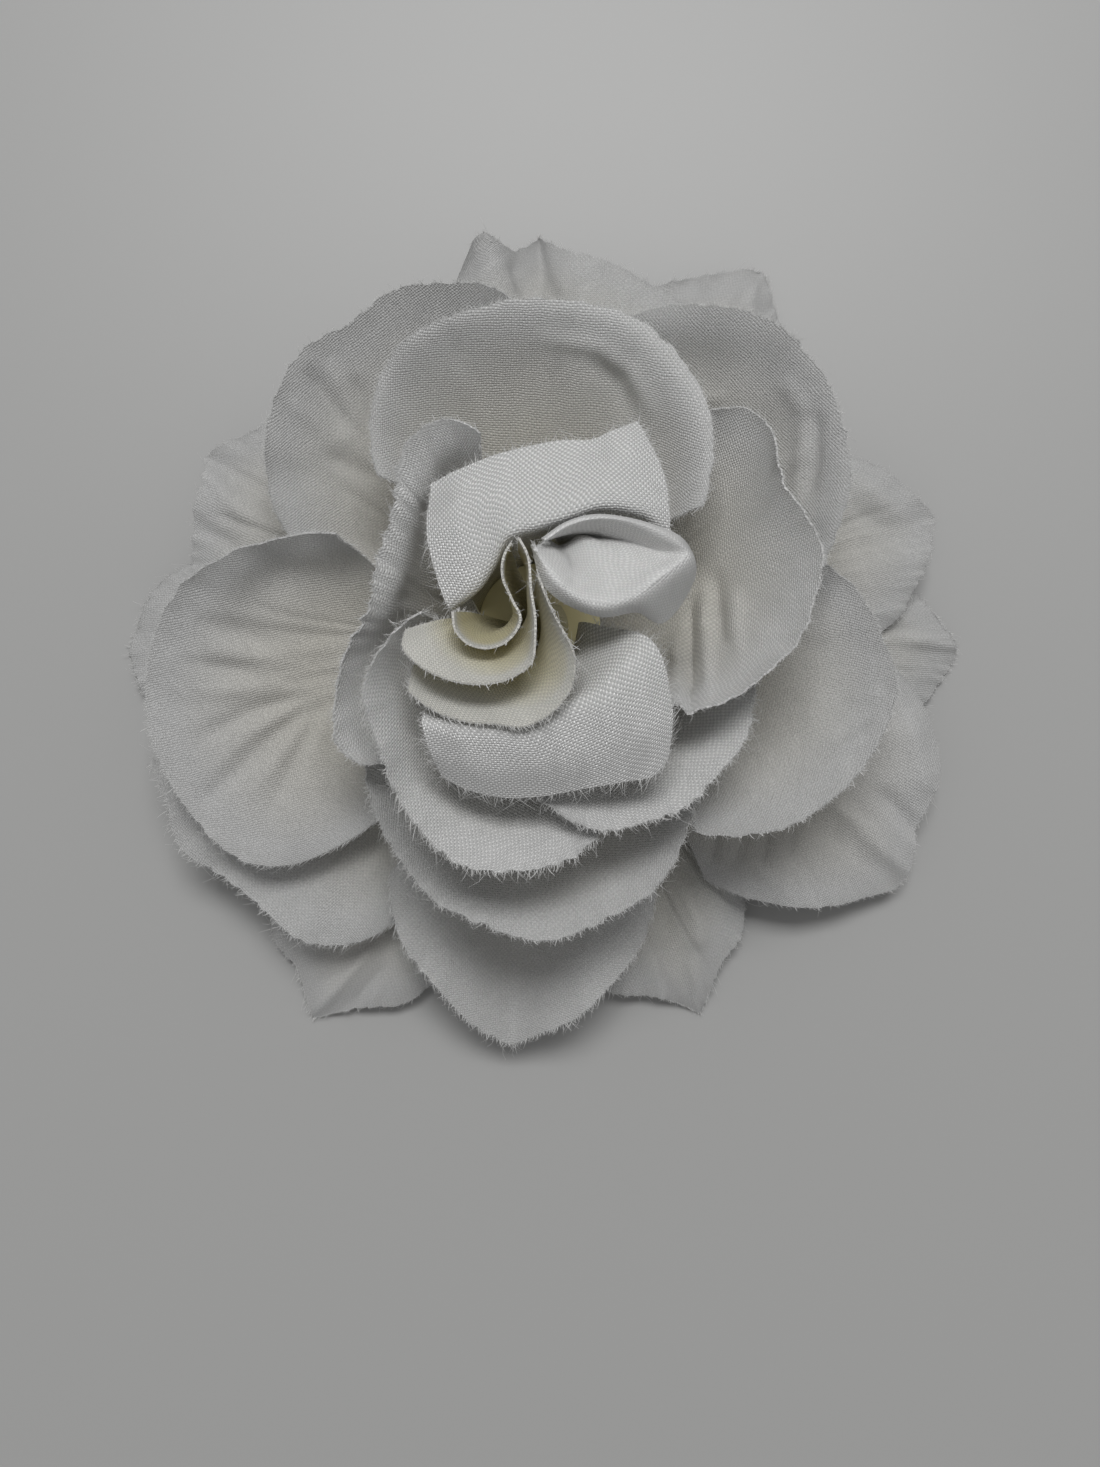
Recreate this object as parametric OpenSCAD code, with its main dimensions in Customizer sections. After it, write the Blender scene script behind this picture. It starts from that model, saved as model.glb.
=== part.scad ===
// Fabric rose on a sprung hair clip.
// The rose faces +Z and rests on the tips of its outer petals. The clip lies along X under it.

/* [Bloom] */
// Diameter across the tips of the outer petals
bloom_d = 112; // [100:1:124]
// Thickness of the petal cloth
petal_t = 0.5; // [0.3:0.05:0.55]
// Height of the bud petals above the bud core
bud_h = 24; // [20:0.5:27]

/* [Stem] */
// Diameter of the peg through the collars
peg_d = 6; // [4:0.5:9]
// Depth of the peg's end inside the bud core
peg_in_core = 2; // [1:0.25:3]
// Diameter of the flange under the collars
flange_d = 22; // [20.5:0.5:23]
// Thickness of the flange
flange_t = 1.5; // [1:0.1:2.5]
// Diameter of the collar that carries the outer petals
outer_collar_d = 20; // [19:0.25:21]
// Height of the outer collar
outer_collar_h = 3.8; // [3.6:0.1:5]
// Diameter of the collar that carries the middle petals
middle_collar_d = 17; // [16:0.25:18]
// Height of the middle collar
middle_collar_h = 6; // [5.4:0.1:7]
// Diameter of the collar that carries the inner petals
inner_collar_d = 14; // [13:0.25:15]
// Height of the inner collar
inner_collar_h = 5; // [4:0.1:6]
// Diameter of the bud core
core_d = 14; // [13.5:0.25:15]
// Height of the bud core
core_h = 4.25; // [3.5:0.25:6]
// Gap between the peg and each collar's bore
peg_clear = 0.05; // [0.02:0.01:0.15]
// Gap between a petal's root and the piece that it is glued to
glue_gap = 0.05; // [0.04:0.01:0.1]

/* [Felt] */
// Diameter of the felt disc
felt_d = 40; // [36:1:60]
// Thickness of the felt disc
felt_t = 1.2; // [0.8:0.1:2]
// Length of the felt strip that holds the clip, along the clip
keeper_l = 10; // [6:0.5:14]
// Width of the felt strip, across the clip
keeper_w = 20; // [15:0.5:30]
// Thickness of the felt strip
keeper_t = 0.8; // [0.5:0.1:1]
// Place of the felt strip's middle along the clip
keeper_x = 8; // [6:0.5:14]

/* [Clip] */
// Height of the clip's upper face above the surface that the rose rests on
clip_top = 9.5; // [9.5:0.1:11]
// Thickness of the sheet steel
steel_t = 0.7; // [0.5:0.05:0.9]
// Width of the base arm
base_w = 9; // [8.4:0.1:12]
// Width of the lever arm
lever_w = 6.8; // [6.2:0.1:6.9]
// Distance from the hinge to the front end of both jaws
jaw_l = 33; // [28:0.5:40]
// Distance from the hinge to the rear end of the base arm
base_tail = 14; // [12:0.5:20]
// Distance from the hinge to the rear end of the lever arm
lever_tail = 16; // [13:0.5:18]
// Place of the hinge along the clip
hinge_x = -8; // [-12:0.5:-5]
// Drop of the hinge below the base arm
hinge_drop = 3; // [2.8:0.1:3.2]
// Diameter of the hinge pin
pin_d = 1.6; // [1.2:0.1:1.8]
// Diameter of the pin's heads
pin_head_d = 2.8; // [2.2:0.1:3.6]
// Thickness of the pin's heads
pin_head_t = 0.6; // [0.4:0.1:1]
// Running gap between the pin and the lever arm's bores
pin_clear = 0.04; // [0.02:0.01:0.08]
// Gap between the pin and the base arm's bores
pin_seat = 0.02; // [0.01:0.01:0.05]
// Radius of the steel round each bore
ear_r = 1.9; // [1.6:0.1:2]
// Width of one jaw tooth
tooth_w = 1; // [0.6:0.1:1]
// Height of one jaw tooth
tooth_h = 0.8; // [0.5:0.1:0.9]
// Distance from one tooth to the next
tooth_pitch = 1.6; // [1.6:0.1:1.8]
// Number of teeth on the base arm
teeth = 5; // [3:2:5]
// Gap between the closed jaws
jaw_gap = 0.4; // [0.3:0.05:0.8]

/* [Spring] */
// Diameter of the spring wire
wire_d = 0.7; // [0.5:0.05:0.75]
// Radius of the coil, to the middle of the wire
coil_r = 1.5; // [1.3:0.05:1.55]
// Width of the coil, between the middles of its end turns
coil_w = 4.4; // [4.2:0.1:4.6]
// Whole turns of the coil, before the last half turn
coil_turns = 3; // [2:1:3]
// Length of the spring's legs
leg_l = 9; // [6:0.5:11]
// Gap between a spring leg and the steel that it presses on
leg_gap = 0.03; // [0.02:0.01:0.1]

/* [Hidden] */
$fn = 64;
petal_rows = 10;
bud_rows = 13;
petal_steps = 6;
normal_step = 0.001;
wire_sides = 6;
rings_per_turn = 8;
drawn_bloom_d = 112;
drawn_bud_h = 24;
bloom_scale = bloom_d / drawn_bloom_d;
bud_scale = bud_h / drawn_bud_h;

// Levels of the stack, from the clip up
flange_z = clip_top + felt_t;
outer_z = flange_z + flange_t;
middle_z = outer_z + outer_collar_h;
inner_z = middle_z + middle_collar_h;
core_z = inner_z + inner_collar_h;
core_top = core_z + core_h;

// Clip places
base_z = clip_top - steel_t;
hinge_z = base_z - hinge_drop;
ear_y = base_w / 2 - steel_t;
lever_ear_y = lever_w / 2 - steel_t;
front_x = hinge_x + jaw_l;
lever_front_top = base_z - tooth_h - jaw_gap;
coil_room = 0.35;
lever_hinge_top = hinge_z - coil_r - wire_d / 2 - coil_room;
lever_bend_x = hinge_x - 5;
lever_flat_x = hinge_x + 5;
lever_bend_drop = 0.6;
lever_end_top = 1.3;
keeper_side = 0.1;
keeper_step = 0.6;

// Each ring of petals: [collar radius, level of the ring's foot, level that its rims are measured from]
outer_ring = [outer_collar_d / 2, outer_z, 0];
middle_ring = [middle_collar_d / 2, middle_z, middle_z];
inner_ring = [inner_collar_d / 2, inner_z, inner_z];

// Points of one petal are named by across, from -1 to 1, and along, from 0 at the root to 1 at the rim.
// turn and spread are degrees round the flower, reach and rise place the rim, and level places the root.
// bowl curves it, from -1 for a trumpet to 1 for a cup, and bowl_lean adds to it towards one side.
// Each cut is [share, power] and trims one side of the rim.
// tip is [length, across, half width, height, power].
// lean and edge raise the rim's sides, and twist the root's.
function petal(ring, level, turn, spread, reach, rise, bowl, cut_right, cut_left,
               tip = [0, 0, 1, 0, 2], lean = 0, edge = 0, waist = 0.8, corner = 0, twist = 0,
               bowl_lean = 0) =
    [ring, level, turn, spread, reach * bloom_scale, rise, bowl, cut_right, cut_left,
     tip, lean, edge, waist, corner, twist, bowl_lean];
function mix(a, b, t) = a + (b - a) * t;
function bump(tip, a) = pow(max(0, 1 - pow(abs(a - tip[1]) / tip[2], tip[4])), 2);
function trim(p, a) =
    let (cut = a < 0 ? p[7] : p[8])
    1 - cut[0] * pow(abs(a), cut[1]) - p[13] * pow(abs(a), 6);
function rim_r(p, a) = p[4] * trim(p, a) + p[9][0] * bump(p[9], a);
function rim_z(p, a) = p[0][2] + p[5] + p[10] * a + p[11] * a * a + p[9][3] * bump(p[9], a);
function root_r(p) = p[0][0] + glue_gap;
function root_z(p, a) = p[0][1] + p[1] + p[14] * a;

// The profile from root to rim is a curve with one control point.
function control(p, a) =
    let (bowl = p[6] + p[15] * a)
    [mix(root_r(p), rim_r(p, a), 0.5 + bowl / 2), mix(root_z(p, a), rim_z(p, a), 0.5 - bowl / 2)];
function profile(p, a, t) =
    (1 - t) * (1 - t) * [root_r(p), root_z(p, a)] + 2 * t * (1 - t) * control(p, a)
    + t * t * [rim_r(p, a), rim_z(p, a)];
function ring_point(p, a, t) =
    let (q = profile(p, a, t))
    let (angle = p[2] + p[3] * a * mix(p[12], 1, t))
    [q[0] * cos(angle), q[0] * sin(angle), q[1]];

// A bud petal is drawn from an arc at its root through lines of points to its rim.
// It is glued to the core's side or it stands on the core's top.
// The arc is [centre, radius, start, end, level].
function side_petal(level, start, end, lines) =
    [false, [[0, 0], core_d / 2 + glue_gap, start, end, core_z + level], lines];
function top_petal(centre, r, start, end, lines) =
    [true, [centre, r, start, end, core_top + glue_gap], lines];
function is_drawn(p) = len(p) == 3;
function arc_point(arc, s) =
    let (angle = mix(arc[2], arc[3], s))
    [arc[0][0] + arc[1] * cos(angle), arc[0][1] + arc[1] * sin(angle), arc[4]];
function bud_line(points) = [for (q = points) [q[0], q[1], core_top + q[2] * bud_scale]];
function spline(v, s) =
    let (n = len(v) - 1)
    let (i = max(0, min(floor(s * n), n - 1)))
    let (u = s * n - i)
    let (before = i > 0 ? v[i - 1] : 2 * v[0] - v[1], after = i + 2 > n ? 2 * v[n] - v[n - 1] : v[i + 2])
    v[i] + u / 2 * (v[i + 1] - before + u * (2 * before - 5 * v[i] + 4 * v[i + 1] - after
                                             + u * (3 * (v[i] - v[i + 1]) + after - before)));
function drawn_point(p, a, t) =
    let (s = (a + 1) / 2)
    spline(concat([arc_point(p[1], s)], [for (line = p[2]) spline(line, s)]), t);
function petal_point(p, a, t) = is_drawn(p) ? drawn_point(p, a, t) : ring_point(p, a, t);

// The root's edge is square to the piece that it is glued to.
function unit(v) = v / norm(v);
function petal_normal(p, a, t) =
    let (e = normal_step)
    let (across = petal_point(p, a + e, t) - petal_point(p, a - e, t))
    let (along = petal_point(p, a, min(t + e, 1)) - petal_point(p, a, max(t - e, 0)))
    let (n = cross(across, along))
    unit(t > 0 ? n : is_drawn(p) && p[0] ? [n[0], n[1], 0] : [0, 0, n[2]]);
function rows_of(p) = is_drawn(p) ? bud_rows : petal_rows;
function petal_side(p, side) =
    [for (i = [0:rows_of(p)], j = [0:petal_steps])
        let (a = 2 * i / rows_of(p) - 1, t = j / petal_steps)
        petal_point(p, a, t) + side * petal_t / 2 * petal_normal(p, a, t)];

// Faces of a sheet with two sides of (rows + 1) x (steps + 1) points
function sheet_faces(rows, steps) =
    let (row = steps + 1, far = (rows + 1) * (steps + 1))
    let (edge = concat(
        [for (i = [0:rows]) i * row],
        [for (j = [1:steps]) rows * row + j],
        [for (i = [rows - 1:-1:0]) i * row + steps],
        [for (j = [steps - 1:-1:1]) j]))
    concat(
        [for (i = [0:rows - 1], j = [0:steps - 1], half = [0, 1])
            let (k = i * row + j)
            half == 0 ? [k, k + row + 1, k + row] : [k, k + 1, k + row + 1]],
        [for (i = [0:rows - 1], j = [0:steps - 1], half = [0, 1])
            let (k = far + i * row + j)
            half == 0 ? [k, k + row, k + row + 1] : [k, k + row + 1, k + 1]],
        [for (i = [0:len(edge) - 1], half = [0, 1])
            let (k = edge[i], next = edge[(i + 1) % len(edge)])
            half == 0 ? [k, next, far + next] : [k, far + next, far + k]]);

module cloth(p, shade) {
    points = concat(petal_side(p, 1), petal_side(p, -1));
    color(shade) polyhedron(points, sheet_faces(rows_of(p), petal_steps));
}

// Outer petals, low, with pinched tips
outer_petals = [
    petal(outer_ring, 2, 86, 21, 50.6, 7.6, 0.5, [0.08, 2], [0.02, 2],
          tip = [3.4, 0.2, 0.3, -6, 1], edge = 1),
    petal(outer_ring, 0.6, 59, 17, 54.5, 1.25, 0.5, [0.16, 2], [0.16, 2],
          tip = [1.5, 0, 0.4, -1, 1], edge = 1),
    petal(outer_ring, 2, 17, 17, 53, 7, 0.5, [0.18, 2], [0.18, 2], tip = [2, 0, 0.4, -3, 1], edge = 1),
    petal(outer_ring, 0.6, -2, 15, 55.2, 1.25, 0.5, [0.2, 2], [0.2, 2], tip = [1, 0, 0.4, -1, 1], edge = 1),
    petal(outer_ring, 2, 330, 26, 56, 7, 0.5, [0.32, 2], [0.2, 3], tip = [3, -0.2, 0.4, -3, 1], edge = 3),
    petal(outer_ring, 0.6, 293, 17, 51, 3.45, 0.5, [0.12, 2], [0.15, 2], tip = [4, 0, 0.4, -3.2, 1]),
    petal(outer_ring, 0.6, 239, 18, 56.5, 2.85, 0.5, [0.14, 2], [0.25, 2], tip = [3, 0, 0.4, -2.6, 1]),
    petal(outer_ring, 3.2, 222, 24, 49.8, 13, 0.2, [-0.04, 2], [0.3, 4]),
    petal(outer_ring, 0.6, 182, 18, 55.5, 1.25, 0.5, [0.2, 2], [0.2, 2],
          tip = [0.5, 0, 0.4, -1, 1], edge = 1),
    petal(outer_ring, 2, 156, 21, 48.3, 8, 0.5, [0.14, 2.5], [0.1, 2.5], tip = [2.4, -0.2, 0.3, -2, 1]),
];

// Middle petals, wide and spread open
middle_petals = [
    petal(middle_ring, 1, 128, 36, 43, 11, 0.4, [0.1, 3], [0.3, 2], lean = -3, waist = 0.7, corner = 0.05),
    petal(middle_ring, 3.5, 45, 38, 42.8, 17, 0.6, [0.3, 1.8], [0.3, 2.5], lean = -2, waist = 0.7),
    petal(middle_ring, 1, 345, 38, 42.8, 11, 0.45, [0.3, 1.8], [0.35, 2.2], lean = -4, waist = 0.7),
    petal(middle_ring, 4.9, 266, 50, 36.5, 15, 0.3, [0.32, 1.5], [0.3, 2], waist = 0.7),
    petal(middle_ring, 1, 266, 28, 50, -3, -0.2, [0.28, 2], [0.28, 2], tip = [4.3, 0, 0.5, -6, 1], edge = 3),
    petal(middle_ring, 3.5, 193, 37, 49, 6, 0.4, [0.48, 2], [0.4, 5], lean = -6, edge = 5, waist = 0.7),
];

// Inner petals, cupped, each with one side over its neighbour
inner_level = 2.4;
inner_twist = -1.1;
inner_waist = 0.75;
inner_bowl_lean = 0.15;
inner_petals = [
    petal(inner_ring, inner_level, 86, 52, 34.6, 19, 0.55, [0.4, 2], [0.32, 4],
          lean = -2.5, waist = inner_waist, twist = inner_twist, bowl_lean = inner_bowl_lean),
    petal(inner_ring, inner_level, 14, 52, 31.8, 18.5, 0.45, [0.4, 1.2], [0.3, 4],
          tip = [3.5, 0.63, 0.35, 0, 2], lean = -9, edge = -4, waist = inner_waist, corner = 0.15,
          twist = inner_twist, bowl_lean = inner_bowl_lean),
    petal(inner_ring, inner_level, 315, 51, 26.4, 17.3, -0.15, [0.28, 2], [0.05, 2],
          lean = -6, edge = -3, waist = inner_waist, corner = 0.1,
          twist = inner_twist, bowl_lean = inner_bowl_lean),
    petal(inner_ring, inner_level, 235, 55, 24.3, 21, -0.3, [0.34, 1.2], [0.06, 2],
          tip = [4.5, 0.6, 0.9, 0, 2], lean = -4, waist = inner_waist, corner = 0.15,
          twist = inner_twist, bowl_lean = -0.1),
    petal(inner_ring, inner_level, 165, 57, 19, 19, 0.05, [-0.6, 2], [-0.82, 2],
          lean = -5, waist = inner_waist, corner = 0.55, twist = inner_twist, bowl_lean = inner_bowl_lean),
];

// Satin petals with folded lips: lines at the wall inside the fold, the fold, the band and the raw rim
upper_satin = [
    [[-8, 2.2, 11.75], [-6.2, 4.3, 11.75], [-4.6, 6.4, 11.75], [-2.6, 8.1, 11.75], [0, 9, 11.75],
     [2.6, 9.8, 11.75], [5.2, 10.3, 11.75], [8, 10.1, 11.75], [10.5, 9.3, 11.75]],
    [[-9.8, 1.2, 17.2], [-6.6, 3, 19], [-4.8, 5.1, 19.8], [-3.1, 7.6, 20.5], [-0.3, 8.5, 21],
     [2.8, 9.5, 21], [6.3, 10.6, 21], [10.4, 10.2, 20.5], [13.5, 8.3, 18.8]],
    [[-11.5, 7, 16.8], [-8.3, 8.8, 19], [-5.7, 10.1, 19.5], [-3.1, 10.9, 20], [-0.3, 11.7, 20.1],
     [2.5, 12.5, 20.2], [5.5, 13.2, 20.4], [8.9, 14.3, 20.1], [13, 13.8, 18.2]],
    [[-11.4, 13.7, 14.8], [-8.6, 14.9, 16], [-5.8, 15.9, 16.8], [-3, 16.8, 17], [-0.2, 17.4, 17.2],
     [2.8, 17.8, 17.4], [5.4, 17.9, 17.4], [7.8, 18.8, 17.5], [10.4, 19.9, 17.2]],
];
lower_satin = [
    [[-11.7, -10, 15.2], [-8.8, -10.4, 15.8], [-5.1, -10.6, 15.8], [-1.2, -10.6, 15.8], [1.8, -9.2, 15.2],
     [4, -6.8, 14.8], [5.6, -4, 14.2], [6.8, -1.2, 13.8]],
    [[-12.1, -11.4, 17.8], [-9.1, -12, 18.8], [-5, -12.2, 19], [-0.9, -12.3, 19], [2.7, -9.9, 19],
     [6.4, -8.2, 19], [9.5, -5.3, 18.8], [11.8, -3.1, 17.8]],
    [[-11.4, -14.4, 16.2], [-7.7, -15.2, 17], [-4, -15.7, 17], [0.2, -15.7, 17], [4.3, -14.2, 17],
     [8.5, -12.5, 17], [11.7, -11.1, 16.8], [13.9, -9.2, 16]],
    [[-10.4, -17.4, 13], [-7.4, -18.8, 12.5], [-3.6, -19.5, 12.4], [0.7, -19.3, 12.4], [5, -18.6, 12.5],
     [9.2, -17.8, 12.8], [12.5, -17.1, 13], [13.9, -15.2, 13.5]],
];
function bud_lines(lines) = [for (line = lines) bud_line(line)];
upper_satin_drop = 2.75;
lower_satin_drop = 0.3;
satin_petals = [
    side_petal(core_h - upper_satin_drop, 170, 62, bud_lines(upper_satin)),
    side_petal(core_h - lower_satin_drop, 235, 340, bud_lines(lower_satin)),
];

// Curled petals of the bud: a line half way up and the rim
outer_roll = [
    [[-0.4, 2.2, 18.2], [0.3, -0.1, 17.8], [0.6, -2.2, 17.8], [0.7, -4.2, 17.8], [0.1, -6.2, 17.2],
     [-1.5, -7.5, 16.8], [-3.5, -8.1, 16.8], [-5.9, -8.3, 16.2], [-8.7, -8.1, 15.8], [-11.5, -7, 15.2],
     [-13.2, -5.3, 14.8]],
    [[0, 3.3, 22.5], [0.9, 0.9, 22.75], [2.2, -1.8, 22.75], [3.6, -4.8, 22.3], [3.2, -8.3, 21.8],
     [1.4, -10.5, 21.2], [-1.7, -12, 20.8], [-4.4, -11.7, 20.2], [-7.5, -11.4, 19.8], [-11.2, -10.1, 18.8],
     [-13.6, -8.2, 17.8]],
];
middle_roll = [
    [[-2, 6.5, 18.8], [-1.3, 4.9, 18.8], [-1.1, 2, 18.2], [-1.2, -1.1, 18.2], [-2.4, -3.4, 18.2],
     [-4.2, -4.5, 18.2], [-6.7, -4.3, 17.8], [-8.7, -3.5, 17.2], [-9.9, -2.4, 17], [-10.4, -1.7, 16.8],
     [-10.5, -0.8, 16.8]],
    [[-1.9, 6.9, 23], [-1, 5.1, 23.5], [-0.7, 1.7, 23.75], [-0.3, -2.3, 23.75], [-0.7, -5.7, 23.5],
     [-2.8, -7.1, 23], [-6.4, -7.7, 22.5], [-9.9, -7, 21.8], [-12.6, -5.4, 20.8], [-14, -3.7, 19.8],
     [-13.8, -2, 18.8]],
];
inner_roll = [
    [[-2.9, 6.4, 16.8], [-3.3, 5.3, 16.8], [-3.4, 3.4, 16.8], [-2.9, 1.5, 16.8], [-2.6, -0.2, 16.8],
     [-3.6, -1.8, 16.8], [-5.4, -2.4, 16.8], [-6.8, -2.1, 16.8], [-7.6, -1.1, 16.8], [-7.7, 0, 16.8]],
    [[-2.7, 6.5, 22.8], [-3.5, 5.1, 22.8], [-3.6, 3, 22.5], [-2.7, 1, 22.4], [-1.8, -1, 22.1],
     [-3.1, -3.2, 22], [-5.3, -4, 21.8], [-7.3, -3.5, 21.5], [-8.6, -2.1, 21.2], [-8.8, -0.3, 21.2]],
];
cup_roll = [
    [[0.9, 7.4, 17.2], [2.2, 6.5, 17.8], [3.6, 6.2, 19], [4.9, 6.3, 19.8], [6.1, 6.6, 19.8],
     [7, 6.8, 19.2], [7.3, 7.2, 18.8], [6.9, 7.6, 17.8], [6.4, 7.8, 17.4], [5.6, 8, 17],
     [4.5, 8.2, 16.8], [3.1, 8.2, 16.8], [1.7, 7.9, 16.8]],
    [[0.3, 6.8, 19.8], [2.4, 4.9, 20.2], [4, 3.2, 21.4], [6.3, 2.5, 22], [8.8, 2.8, 22.1],
     [10.8, 3.8, 22.1], [12.9, 5.2, 21.5], [11.9, 6.3, 20.8], [10.2, 7.1, 20.2], [8.2, 7.8, 19.8],
     [6.1, 8.3, 19], [3.6, 8.1, 18.5], [1.4, 7.5, 18.8]],
    [[-0.3, 6.2, 22], [1.4, 3.5, 22.5], [3.6, 1.3, 23], [6.2, 0.4, 23.1], [9.2, 0.8, 23.2],
     [12, 2.3, 23.1], [15.1, 5, 22.4], [13.5, 6.7, 22.8], [11.1, 7.9, 22.8], [8.5, 8.7, 22.5],
     [5.8, 9, 22.1], [3, 8.3, 21.8], [0.8, 6.9, 21.6]],
];
bud_petals = [
    top_petal([-1, -0.4], 4.2, 35, -155, bud_lines(outer_roll)),
    top_petal([-1.2, -0.2], 2.7, 28, -152, bud_lines(middle_roll)),
    top_petal([-1.2, 0.3], 1.3, 20, -160, bud_lines(inner_roll)),
    top_petal([3.2, 5.2], 0.9, 115, 445, bud_lines(cup_roll)),
];

module felt_disc() {
    color("gainsboro") translate([0, 0, clip_top]) cylinder(d = felt_d, h = felt_t);
}

// The strip runs under the base arm and is glued to the disc at both ends.
module clip_keeper() {
    arm = base_w / 2 + keeper_side;
    low = base_z - keeper_t;
    wing = clip_top - keeper_t;
    half = [[arm, base_z], [arm, clip_top], [keeper_w / 2, clip_top], [keeper_w / 2, wing],
            [arm + keeper_t + keeper_step, wing], [arm + keeper_t, low]];
    other_half = [for (i = [len(half) - 1:-1:0]) [-half[i][0], half[i][1]]];
    color("gainsboro")
    translate([keeper_x - keeper_l / 2, 0, 0])
    rotate([90, 0, 90])
    linear_extrude(keeper_l)
    polygon(concat(half, other_half));
}

module receptacle() {
    color("beige") {
        translate([0, 0, flange_z]) cylinder(d = flange_d, h = flange_t);
        translate([0, 0, flange_z]) cylinder(d = peg_d, h = core_z + peg_in_core - flange_z);
    }
}

module collar(d, h, z) {
    color("ivory")
    translate([0, 0, z])
    difference() {
        cylinder(d = d, h = h);
        translate([0, 0, -1]) cylinder(d = peg_d + 2 * peg_clear, h = h + 2);
    }
}

module outer_collar() { collar(outer_collar_d, outer_collar_h, outer_z); }
module middle_collar() { collar(middle_collar_d, middle_collar_h, middle_z); }
module inner_collar() { collar(inner_collar_d, inner_collar_h, inner_z); }

module bud_core() {
    color("ivory")
    translate([0, 0, core_z])
    difference() {
        cylinder(d = core_d, h = core_h);
        translate([0, 0, -1]) cylinder(d = peg_d + 2 * peg_clear, h = 1 + peg_in_core + peg_clear);
    }
}

module ear_bore(d) {
    translate([hinge_x, 0, hinge_z]) rotate([90, 0, 0]) cylinder(d = d, h = 2 * base_w, center = true);
}

// One ear is a round end at the hinge with a web to the arm's sheet.
module ear(y, z_low, z_high) {
    translate([hinge_x - ear_r, y, z_low]) cube([2 * ear_r, steel_t, z_high - z_low]);
    translate([hinge_x, y + steel_t, hinge_z]) rotate([90, 0, 0]) cylinder(r = ear_r, h = steel_t);
}

// A row of teeth across the front edge, pointing up or down
module tooth_row(count, z, height) {
    for (i = [0:count - 1])
        translate([front_x - steel_t, (i - (count - 1) / 2) * tooth_pitch, z])
        rotate([90, 0, 90])
        linear_extrude(steel_t)
        polygon([[-tooth_w / 2, 0], [tooth_w / 2, 0], [0, height]]);
}

module clip_base_arm() {
    color("silver")
    difference() {
        union() {
            translate([hinge_x - base_tail, -base_w / 2, base_z]) cube([base_tail + jaw_l, base_w, steel_t]);
            ear(ear_y, hinge_z, base_z + steel_t);
            ear(-ear_y - steel_t, hinge_z, base_z + steel_t);
            tooth_row(teeth, base_z, -tooth_h);
        }
        ear_bore(pin_d + 2 * pin_seat);
    }
}

// The lever arm's upper line, from its rear end to its front end
function lever_line() =
    [[hinge_x - lever_tail, lever_end_top], [lever_bend_x, lever_hinge_top - lever_bend_drop],
     [lever_flat_x, lever_hinge_top], [front_x - 2 * steel_t, lever_front_top], [front_x, lever_front_top]];
function lowered(line, by) = [for (i = [len(line) - 1:-1:0]) [line[i][0], line[i][1] - by]];

module clip_lever_arm() {
    color("silver")
    difference() {
        union() {
            translate([0, lever_w / 2, 0])
            rotate([90, 0, 0])
            linear_extrude(lever_w)
            polygon(concat(lever_line(), lowered(lever_line(), steel_t)));
            ear(lever_ear_y, lever_hinge_top - steel_t, hinge_z);
            ear(-lever_ear_y - steel_t, lever_hinge_top - steel_t, hinge_z);
            tooth_row(teeth - 1, lever_front_top, tooth_h);
        }
        ear_bore(pin_d + 2 * pin_clear);
    }
}

module hinge_pin() {
    color("gray")
    translate([hinge_x, 0, hinge_z])
    rotate([90, 0, 0]) {
        cylinder(d = pin_d, h = base_w + 2 * pin_head_t, center = true);
        for (side = [-1, 1])
            translate([0, 0, side * (base_w + pin_head_t) / 2])
            cylinder(d = pin_head_d, h = pin_head_t, center = true);
    }
}

// Spring path: the upper leg, the coil round the pin, and the lower leg.
// The upper leg presses on the base arm and the lower one on the lever arm.
leg_x = hinge_x - leg_l;
upper_leg_z = base_z - wire_d / 2 - leg_gap;
lever_slope = (lever_hinge_top - lever_bend_drop - lever_end_top) / (lever_bend_x - hinge_x + lever_tail);
lever_top_at_leg = lever_end_top + lever_slope * (leg_x - hinge_x + lever_tail);
lower_leg_z = lever_top_at_leg + (wire_d / 2 + leg_gap) * sqrt(1 + lever_slope * lever_slope);
coil_angle = 180 + 360 * coil_turns;
coil_rings = rings_per_turn * coil_turns + rings_per_turn / 2;
function coil_point(s) =
    let (angle = 90 - coil_angle * s)
    [hinge_x + coil_r * cos(angle), (s - 0.5) * coil_w, hinge_z + coil_r * sin(angle)];
spring_path = concat(
    [[leg_x, -coil_w / 2, upper_leg_z], [hinge_x - wire_d, -coil_w / 2, hinge_z + coil_r]],
    [for (i = [0:coil_rings]) coil_point(i / coil_rings)],
    [[hinge_x - wire_d, coil_w / 2, hinge_z - coil_r], [leg_x, coil_w / 2, lower_leg_z]]);
function path_way(path, i) = unit(path[min(i + 1, len(path) - 1)] - path[max(i - 1, 0)]);
function wire_ring(path, i) =
    let (way = path_way(path, i))
    let (side = unit(cross([0, 1, 0], way)))
    let (up = cross(way, side))
    [for (k = [0:wire_sides - 1])
        let (angle = 360 * k / wire_sides)
        path[i] + wire_d / 2 * (cos(angle) * side + sin(angle) * up)];

// Least gap between turns of the coil that are at least half a turn apart
coil_gap = min([for (i = [0:coil_rings], j = [0:coil_rings])
    if (j - i >= rings_per_turn / 2)
        norm(coil_point(i / coil_rings) - coil_point(j / coil_rings)) - wire_d]);
echo(coil_gap = coil_gap);

module torsion_spring() {
    rings = len(spring_path);
    points = [for (i = [0:rings - 1]) each wire_ring(spring_path, i)];
    first = [for (k = [0:wire_sides - 1]) k];
    last = [for (k = [wire_sides - 1:-1:0]) (rings - 1) * wire_sides + k];
    sides = [for (i = [0:rings - 2], k = [0:wire_sides - 1], half = [0, 1])
        let (a = i * wire_sides + k, b = i * wire_sides + (k + 1) % wire_sides)
        half == 0 ? [a, a + wire_sides, b + wire_sides] : [a, b + wire_sides, b]];
    color("darkgray") polyhedron(points, concat([first, last], sides));
}

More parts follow.
